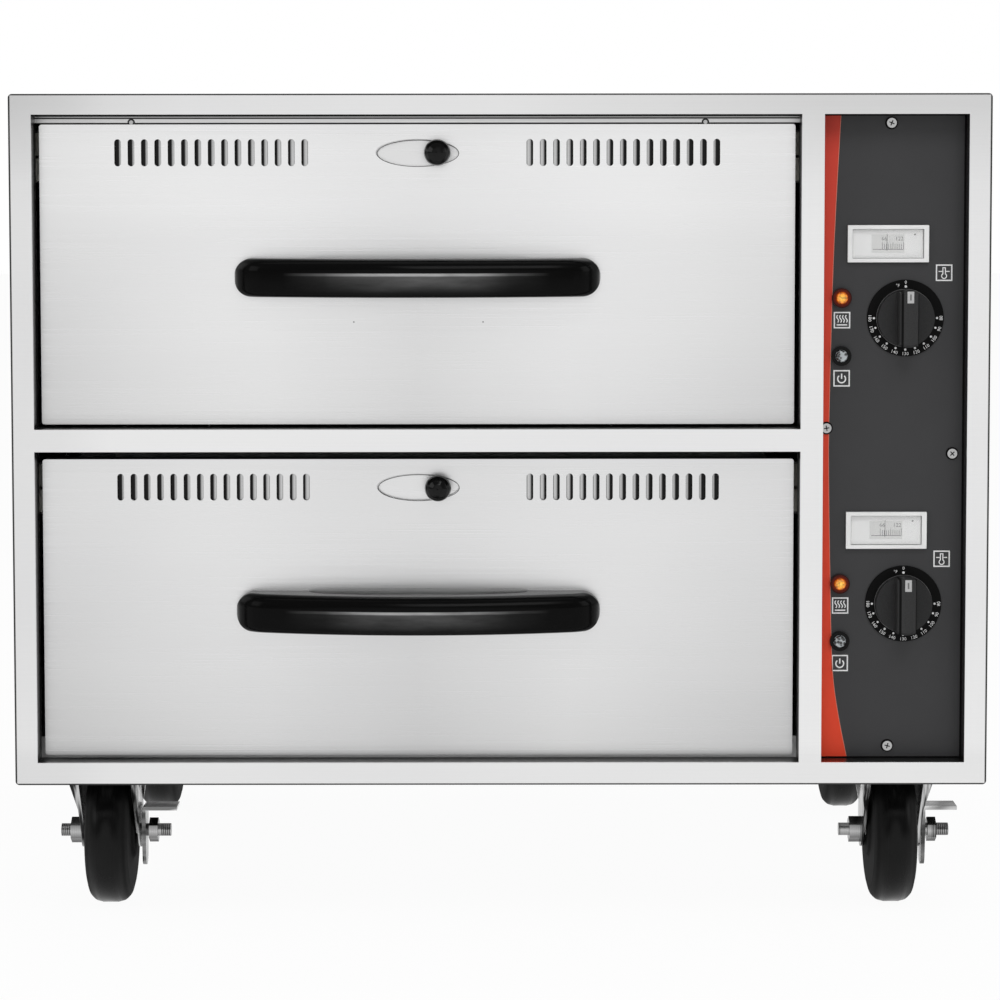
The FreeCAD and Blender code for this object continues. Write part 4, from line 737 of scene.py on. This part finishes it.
class Marks:
    """A set of thin flat marks on an upright face, drawn in x and z and joined into one piece."""

    def __init__(self, name, face, material, body, slot, thickness=INK_THICKNESS):
        self.name, self.face, self.thickness = name, face, thickness
        self.material, self.body, self.slot = material, body, slot
        self.mesh = bmesh.new()

    def corner(self, x, z, front):
        """A new corner on the marks' front or back."""
        return self.mesh.verts.new((x, self.face - self.thickness * front, z))

    def polygon(self, points):
        """A filled outline, given clockwise or anticlockwise."""
        front = [self.corner(x, z, 1) for x, z in points]
        back = [self.corner(x, z, 0) for x, z in points]
        self.mesh.faces.new(front)
        self.mesh.faces.new(back[::-1])
        for index, vertex in enumerate(front):
            after = (index + 1) % len(front)
            self.mesh.faces.new([front[after], vertex, back[index], back[after]])

    def bar(self, x, z, width, height, turn=0.0):
        """A rectangle with its middle at x, z, turned clockwise."""
        cosine, sine = math.cos(turn), math.sin(turn)
        self.polygon([(x + u * cosine + v * sine, z - u * sine + v * cosine)
                      for u, v in rectangle(0, 0, width, height)])

    def disc(self, x, z, radius, sides=20):
        self.polygon(ellipse(x, z, radius, radius, sides))

    def line(self, points, width, closed=False):
        """A line of even width through the points, mitred at its corners."""
        spots = [Vector(point) for point in points]
        rows = []
        for index, spot in enumerate(spots):
            first, last = index == 0 and not closed, index + 1 == len(spots) and not closed
            after = spots[(index + 1) % len(spots)]
            into = ((after - spot) if first else (spot - spots[index - 1])).normalized()
            out = into if last else (after - spot).normalized()
            aside = Vector((-(into + out).y, (into + out).x)).normalized()
            reach = aside * (width / 2 / aside.dot(Vector((-into.y, into.x))))
            ring = ((spot + reach, 1), (spot - reach, 1), (spot - reach, 0), (spot + reach, 0))
            rows.append([self.corner(at.x, at.y, front) for at, front in ring])
        for row, after in zip(rows, rows[1:] + rows[:1] if closed else rows[1:]):
            for side in range(4):
                beside = (side + 1) % 4
                self.mesh.faces.new([row[side], after[side], after[beside], row[beside]])
        if not closed:
            self.mesh.faces.new(rows[0])
            self.mesh.faces.new(rows[-1][::-1])

    def ring(self, x, z, radius, width, sides=24):
        """A round line."""
        self.line(ellipse(x, z, radius, radius, sides), width, closed=True)

    def text(self, words, x, z, height, turn=0.0):
        """Plain figures, centred at x, z."""
        curve = bpy.data.curves.new("figures", "FONT")
        curve.body = words
        curve.size = height
        curve.align_x = "CENTER"
        curve.align_y = "CENTER"
        curve.resolution_u = 2
        holder = bpy.data.objects.new("figures", curve)
        bpy.context.scene.collection.objects.link(holder)
        evaluated = holder.evaluated_get(bpy.context.evaluated_depsgraph_get())
        flat = bpy.data.meshes.new_from_object(evaluated)
        place = Matrix.Translation((x, self.face - self.thickness, z))
        upright = Matrix.Rotation(math.pi / 2, 4, "X")
        flat.transform(place @ Matrix.Rotation(turn, 4, "Y") @ upright)
        self.mesh.from_mesh(flat)
        bpy.data.objects.remove(holder)
        bpy.data.curves.remove(curve)
        bpy.data.meshes.remove(flat)

    def finish(self):
        """Makes the piece, with its body."""
        mesh = bpy.data.meshes.new(self.name)
        bmesh.ops.recalc_face_normals(self.mesh, faces=self.mesh.faces[:])
        self.mesh.to_mesh(mesh)
        self.mesh.free()
        mesh.materials.append(self.material)
        piece = bpy.data.objects.new(self.name, mesh)
        bpy.context.scene.collection.objects.link(piece)
        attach(piece, self.body)


def face_centre(low, high):
    """The x and z of a box's middle."""
    return (low.x + high.x) / 2, (low.z + high.z) / 2


def vent_ovals():
    """The thin printed oval round each vent knob's travel. The word inside it isn't copied."""
    for bay in BAYS:
        knob = middle(f"{bay}_vent_knob")
        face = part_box(f"{bay}_drawer_front")[0].y
        marks = Marks(f"{bay}_vent_oval", face, BLACK_INK, f"{bay}_drawer", "stainless")
        oval = ellipse(knob.x - 14.8 * MM, knob.z - 0.6 * MM, 31 * MM, 10 * MM)
        marks.line(oval, FINE_LINE, closed=True)
        marks.finish()


def red_stripe():
    """The stripe down the panel's left edge, narrow in the middle and flaring to the bottom."""
    height = PANEL_HIGH.z - PANEL_LOW.z
    left = PANEL_LOW.x + 1.0 * MM
    widths_mm = ((1.0, 13.2), (0.86, 9.8), (0.74, 7.6), (0.56, 5.8), (0.48, 5.4), (0.375, 6.1),
                 (0.255, 7.4), (0.19, 8.2), (0.125, 9.9), (0.065, 14.2), (0.0, 20.6))
    edge = [(left + width * MM, PANEL_LOW.z + share * height) for share, width in widths_mm]
    smooth = smooth_line(edge, 6)
    stripe = Marks("red_stripe", PANEL_FACE, RED_INK, "cabinet", "black_panel")
    for (x1, z1), (x2, z2) in zip(smooth, smooth[1:]):
        stripe.polygon([(left, z1), (x1, z1), (x2, z2), (left, z2)])
    stripe.finish()
    light = Marks("red_stripe_edge", PANEL_FACE, RED_EDGE, "cabinet", "black_panel", 0.14 * MM)
    light.line(smooth, 0.35 * MM)
    light.finish()


DOT_RADIUS = 24.0 * MM
FIGURE_RADIUS = 27.2 * MM
POINTER_X, POINTER_Z = 1.1 * MM, 16.6 * MM


def dial_marks():
    """Dots and figures on each dial's ring, and the pointer on its knob."""
    for bay in BAYS:
        low, high = bay_half("dial_rings", bay)
        x, z = face_centre(low, high)
        marks = Marks(f"{bay}_dial_figures", low.y, WHITE_INK, "cabinet", "dial_black")
        for step in range(11):
            angle = math.radians(90 + 18 * step)
            sine, cosine = math.sin(angle), math.cos(angle)
            marks.disc(x + DOT_RADIUS * sine, z + DOT_RADIUS * cosine, 0.85 * MM, 12)
            marks.text(str(80 + 10 * step), x + FIGURE_RADIUS * sine, z + FIGURE_RADIUS * cosine,
                       3.6 * MM, angle + math.pi)
        marks.disc(x, z + DOT_RADIUS, 1.0 * MM, 12)
        marks.text("0", x, z + FIGURE_RADIUS, 3.4 * MM)
        marks.text("\u00b0F", x - 6.0 * MM, z + 24.6 * MM, 3.4 * MM)
        marks.finish()
        knob_low, knob_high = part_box(f"{bay}_thermostat_knob")
        edge = Marks(f"{bay}_knob_edge", low.y, EDGE_GREY, "cabinet", "dial_black", 0.10 * MM)
        edge.ring(x, z, (knob_high.x - knob_low.x) / 2 + 0.5 * MM, FINE_LINE, 48)
        edge.finish()
        knob = f"{bay}_knob"
        across, up = x + POINTER_X, z + POINTER_Z
        pointer = Marks(f"{bay}_knob_pointer", knob_low.y, POINTER_GREY, knob, "dial_black")
        pointer.bar(across, up, 5.0 * MM, 8.8 * MM)
        pointer.finish()
        groove = Marks(f"{bay}_pointer_groove", knob_low.y, GREY_INK, knob, "dial_black", 0.16 * MM)
        groove.line([(across, up - 2.3 * MM), (across, up + 2.3 * MM)], 1.2 * MM)
        groove.finish()


SIGN_SIZE, STROKE = 11.6 * MM, 1.0 * MM


def panel_signs():
    """The framed signs beside the lamps and dials: heat, power and thermometer."""
    signs = Marks("panel_signs", PANEL_FACE, WHITE_INK, "cabinet", "black_panel")
    lamp_x = middle("heat_lamp_lenses").x + 0.4 * MM
    for bay in BAYS:
        x, z = face_centre(*bay_half("dial_rings", bay))
        heat_sign(signs, lamp_x, z - 1.6 * MM)
        power_sign(signs, lamp_x, z - 46.0 * MM)
        thermometer_sign(signs, x + 29.3 * MM, z + 34.4 * MM)
    signs.finish()


def sign_frame(signs, x, z):
    signs.line(rectangle(x, z, SIGN_SIZE, SIGN_SIZE), STROKE, closed=True)


def heat_sign(signs, x, z):
    """Four rising waves over a line."""
    sign_frame(signs, x, z)
    for index in range(4):
        start = x + (index - 1.5) * 2.2 * MM
        wave = []
        for step in range(9):
            rise = step / 8
            wave.append((start + 0.75 * MM * math.sin(rise * 2 * math.pi),
                         z - 1.8 * MM + rise * 5.6 * MM))
        signs.line(wave, STROKE * 0.8)
    signs.line([(x - 4.0 * MM, z - 3.6 * MM), (x + 4.0 * MM, z - 3.6 * MM)], STROKE)


def power_sign(signs, x, z):
    """An open ring with an upright in its gap."""
    sign_frame(signs, x, z)
    signs.line(arc(x, z - 0.4 * MM, 3.0 * MM, 50, -230, 18), STROKE)
    signs.line([(x, z - 0.4 * MM), (x, z + 3.6 * MM)], STROKE)


def thermometer_sign(signs, x, z):
    """A thermometer's outline with a short line at either side."""
    sign_frame(signs, x, z)
    stem = [(x + 0.95 * MM, z + 3.8 * MM), (x - 0.95 * MM, z + 3.8 * MM)]
    bulb = arc(x, z - 2.5 * MM, 1.9 * MM, 120, 420, 14)
    signs.line(stem + bulb, STROKE * 0.75, closed=True)
    level = z + 1.0 * MM
    for side in (-1, 1):
        signs.line([(x + side * 1.5 * MM, level), (x + side * 4.2 * MM, level)], STROKE * 0.75)


def thermometer_dials():
    """The paper behind each window, with its scale, figures and needle."""
    for bay in BAYS:
        low, high = bay_half("thermometer_windows", bay)
        x, z = face_centre(low, high)
        width, height = high.x - low.x, high.z - low.z
        face = high.y + 1.2 * MM

        def layer(name, depth, material, thickness=INK_THICKNESS):
            return Marks(f"{bay}_meter_{name}", depth, material, "cabinet", "meter_white",
                         thickness)

        paper = layer("paper", face + 0.6 * MM, METER_PAPER, 0.5 * MM)
        paper.bar(x, z, width * 0.985, height * 0.97)
        paper.finish()
        card = layer("card", face + 0.15 * MM, METER_CARD)
        card.bar(x, z, 25.0 * MM, 14.0 * MM)
        card.finish()
        scale = layer("scale", face + 0.1 * MM, GREY_INK)
        base = z - 4.3 * MM
        scale.line([(x - 11.2 * MM, base), (x + 11.8 * MM, base)], FINE_LINE)
        for tick in range(11):
            spot = x - 4.3 * MM + tick * 1.61 * MM
            tall = 5.4 * MM if tick % 5 == 0 else 4.2 * MM
            scale.line([(spot, base), (spot, base + tall)], 0.4 * MM)
        for figure, across in (("66", -2.9 * MM), ("122", 8.6 * MM)):
            scale.text(figure, x + across, z + 3.7 * MM, 4.2 * MM)
        scale.disc(x + 20.5 * MM, z + 7.0 * MM, 0.7 * MM, 12)
        scale.finish()
        rim = layer("rim", low.y, GREY_INK, 0.05 * MM)
        rim.line(rectangle(x, z, width, height), 0.5 * MM, closed=True)
        rim.finish()
        needle = layer("needle", face, BLACK_INK)
        needle.line([(x - 0.7 * MM, z - 5.2 * MM), (x - 0.7 * MM, z + 7.4 * MM)], 0.4 * MM)
        needle.finish()


def panel_screw_marks():
    """Painted shade in the cross recess, and a painted shadow round the rim, of each panel screw.
    """
    screws = clusters("panel_screws", 12 * MM)
    head_face = screws[0][0].y
    crosses = Marks("screw_recesses", head_face, BLACK_INK, "cabinet", "stainless", 0.06 * MM)
    rims = Marks("screw_rim_shadows", PANEL_FACE, DIAL_BLACK, "cabinet", "black_panel", 0.3 * MM)
    for number, (low, high) in enumerate(screws):
        x, z = face_centre(low, high)
        # Painted shade: the dark cross in each head's recess.
        for width, height in ((4.2 * MM, 0.9 * MM), (0.9 * MM, 4.2 * MM)):
            crosses.bar(x, z, width, height, 0.4 + number)
        # Painted shadow round each head.
        rims.ring(x, z, (high.x - low.x) / 2 + 0.4 * MM, 1.6 * MM)
    crosses.finish()
    rims.finish()


def panel_border():
    """A painted dark line round the control panel: the shade in the joint round it."""
    joint = Marks("panel_border", PANEL_FACE, DIAL_BLACK, "cabinet", "black_panel", 0.2 * MM)
    x, z = face_centre(PANEL_LOW, PANEL_HIGH)
    inside = 1.0 * MM
    width, height = PANEL_HIGH.x - PANEL_LOW.x - inside, PANEL_HIGH.z - PANEL_LOW.z - inside
    # Painted shade of the joint.
    joint.line(rectangle(x, z, width, height), 1.0 * MM, closed=True)
    joint.finish()


def lip_screws():
    """Two small pan-head screws in the lip over the upper drawer, half hidden by its top edge."""
    face = FRAME_HIGH.y - 1.2 * MM
    heads = Marks("lip_screws", face, BRIGHT_ZINC, "cabinet", "stainless", 0.9 * MM)
    # The black rings are painted shadows round the screw heads.
    shadows = Marks("lip_screw_rims", face, BLACK_INK, "cabinet", "stainless", 0.3 * MM)
    for x in (-280 * MM, 155.6 * MM):
        heads.disc(x, LIP + 1.6 * MM, 1.5 * MM, 24)
        shadows.ring(x, LIP + 1.6 * MM, 2.2 * MM, 1.2 * MM)
    heads.finish()
    shadows.finish()


def spot_welds():
    """Two faint weld dimples under the upper handle."""
    dimples = Marks("spot_welds", FRONT_LOW.y, GREY_INK, "upper_drawer", "stainless", 0.03 * MM)
    height = middle("upper_drawer_front").z - 36.0 * MM
    for x in (-111.6 * MM, -13.3 * MM):
        dimples.disc(x, height, 0.55 * MM, 10)
    dimples.finish()


panel_screw_marks()
panel_border()
lip_screws()
spot_welds()
vent_ovals()
red_stripe()
dial_marks()
panel_signs()
thermometer_dials()

# ---------------------------------------------------------------- studio

FLOOR_REACH = 14.0
FLOOR_WHITENESS = 0.95
SOFT_LIGHT = 0.50
CABINET_MIDDLE = Vector((0.0, 0.0, 0.32))
MIRRORED_ROOM = ((0.0, 1.0), (0.012, 1.0), (0.08, 0.14), (0.16, 0.20), (0.35, 0.24), (0.5, 0.28),
                 (0.7, 0.38), (1.0, 0.38))


def studio_floor():
    """A wide pale floor that keeps the soft shadow and looks white to the camera."""
    mesh = bpy.data.meshes.new("studio_floor")
    corners = rectangle(0, 0, 2 * FLOOR_REACH, 2 * FLOOR_REACH)
    mesh.from_pydata([(x, y, 0) for x, y in corners], [], [(0, 1, 2, 3)])
    floor = bpy.data.objects.new("studio_floor", mesh)
    bpy.context.scene.collection.objects.link(floor)
    finish = Finish("pale_floor", grey(0.86), roughness=0.8, specular=0.1)
    path = finish.tree.nodes.new("ShaderNodeLightPath").outputs
    direct = finish.most(path["Is Camera Ray"], path["Is Glossy Ray"])
    direct = finish.most(direct, path["Is Transmission Ray"])
    glow = finish.make("ShaderNodeEmission", {}, "Emission")
    mixed = finish.mix(direct * FLOOR_WHITENESS, finish.shader.outputs["BSDF"], glow)
    finish.feed(finish.tree.nodes["Material Output"].inputs["Surface"], mixed)
    mesh.materials.append(finish.material)


def studio_world():
    """White to the camera and to metal in front, softer overhead and at the sides."""
    world = bpy.data.worlds.new("studio")
    bpy.context.scene.world = world
    world.use_nodes = True
    sky = Nodes(world.node_tree)
    sky.tree.nodes.clear()
    path = sky.tree.nodes.new("ShaderNodeLightPath").outputs

    def background(strength):
        inputs = {"Color": (1, 1, 1, 1), "Strength": strength}
        return sky.make("ShaderNodeBackground", inputs, "Background")

    direction = sky.make("ShaderNodeTexCoord", {}, "Generated")
    backwards = sky.ranged(sky.along("Y", direction), -1.0, 1.0)
    room = sky.ramp(backwards, MIRRORED_ROOM, interpolation="EASE")
    mirrored = sky.mix(path["Is Glossy Ray"], background(SOFT_LIGHT), background(room))
    seen = sky.most(path["Is Camera Ray"], path["Is Transmission Ray"])
    surface = sky.mix(seen, mirrored, background(1.0))
    sky.feed(sky.tree.nodes.new("ShaderNodeOutputWorld").inputs["Surface"], surface)


def softbox(name, place, size, power):
    """A rectangular lamp turned towards the middle of the cabinet."""
    data = bpy.data.lights.new(name, "AREA")
    data.shape = "RECTANGLE"
    data.size, data.size_y = size
    data.energy = power
    lamp = bpy.data.objects.new(name, data)
    lamp.location = place
    aim = CABINET_MIDDLE - Vector(place)
    lamp.rotation_mode = "QUATERNION"
    lamp.rotation_quaternion = aim.to_track_quat("-Z", "Y")
    bpy.context.scene.collection.objects.link(lamp)


def photo_camera():
    """The photograph's view: straight on from the front, a little above the middle, lens long."""
    distance, height = 2.4, 0.5897
    tilt, roll = math.radians(3.96), math.radians(0.05)
    data = bpy.data.cameras.new("photo_camera")
    data.sensor_width = 36.0
    data.lens = 114.6
    data.shift_y = -0.119
    data.clip_end = 60.0
    camera = bpy.data.objects.new("photo_camera", data)
    camera.location = (-0.0004, FRAME_LOW.y - distance, height)
    camera.rotation_mode = "QUATERNION"
    turn = Matrix.Rotation(math.pi / 2 - tilt, 3, "X") @ Matrix.Rotation(-roll, 3, "Z")
    camera.rotation_quaternion = turn.to_quaternion()
    bpy.context.scene.collection.objects.link(camera)
    bpy.context.scene.camera = camera


studio_floor()
studio_world()
softbox("front_softbox", (0.5, -2.2, 2.5), (1.6, 1.1), 22)
softbox("left_softbox", (-2.4, -1.4, 1.6), (1.4, 1.6), 12)
softbox("right_softbox", (2.6, -0.8, 1.3), (1.2, 1.6), 10)
softbox("top_softbox", (0.0, 0.4, 2.8), (2.4, 1.8), 16)
photo_camera()
bpy.context.scene.view_settings.view_transform = "Standard"
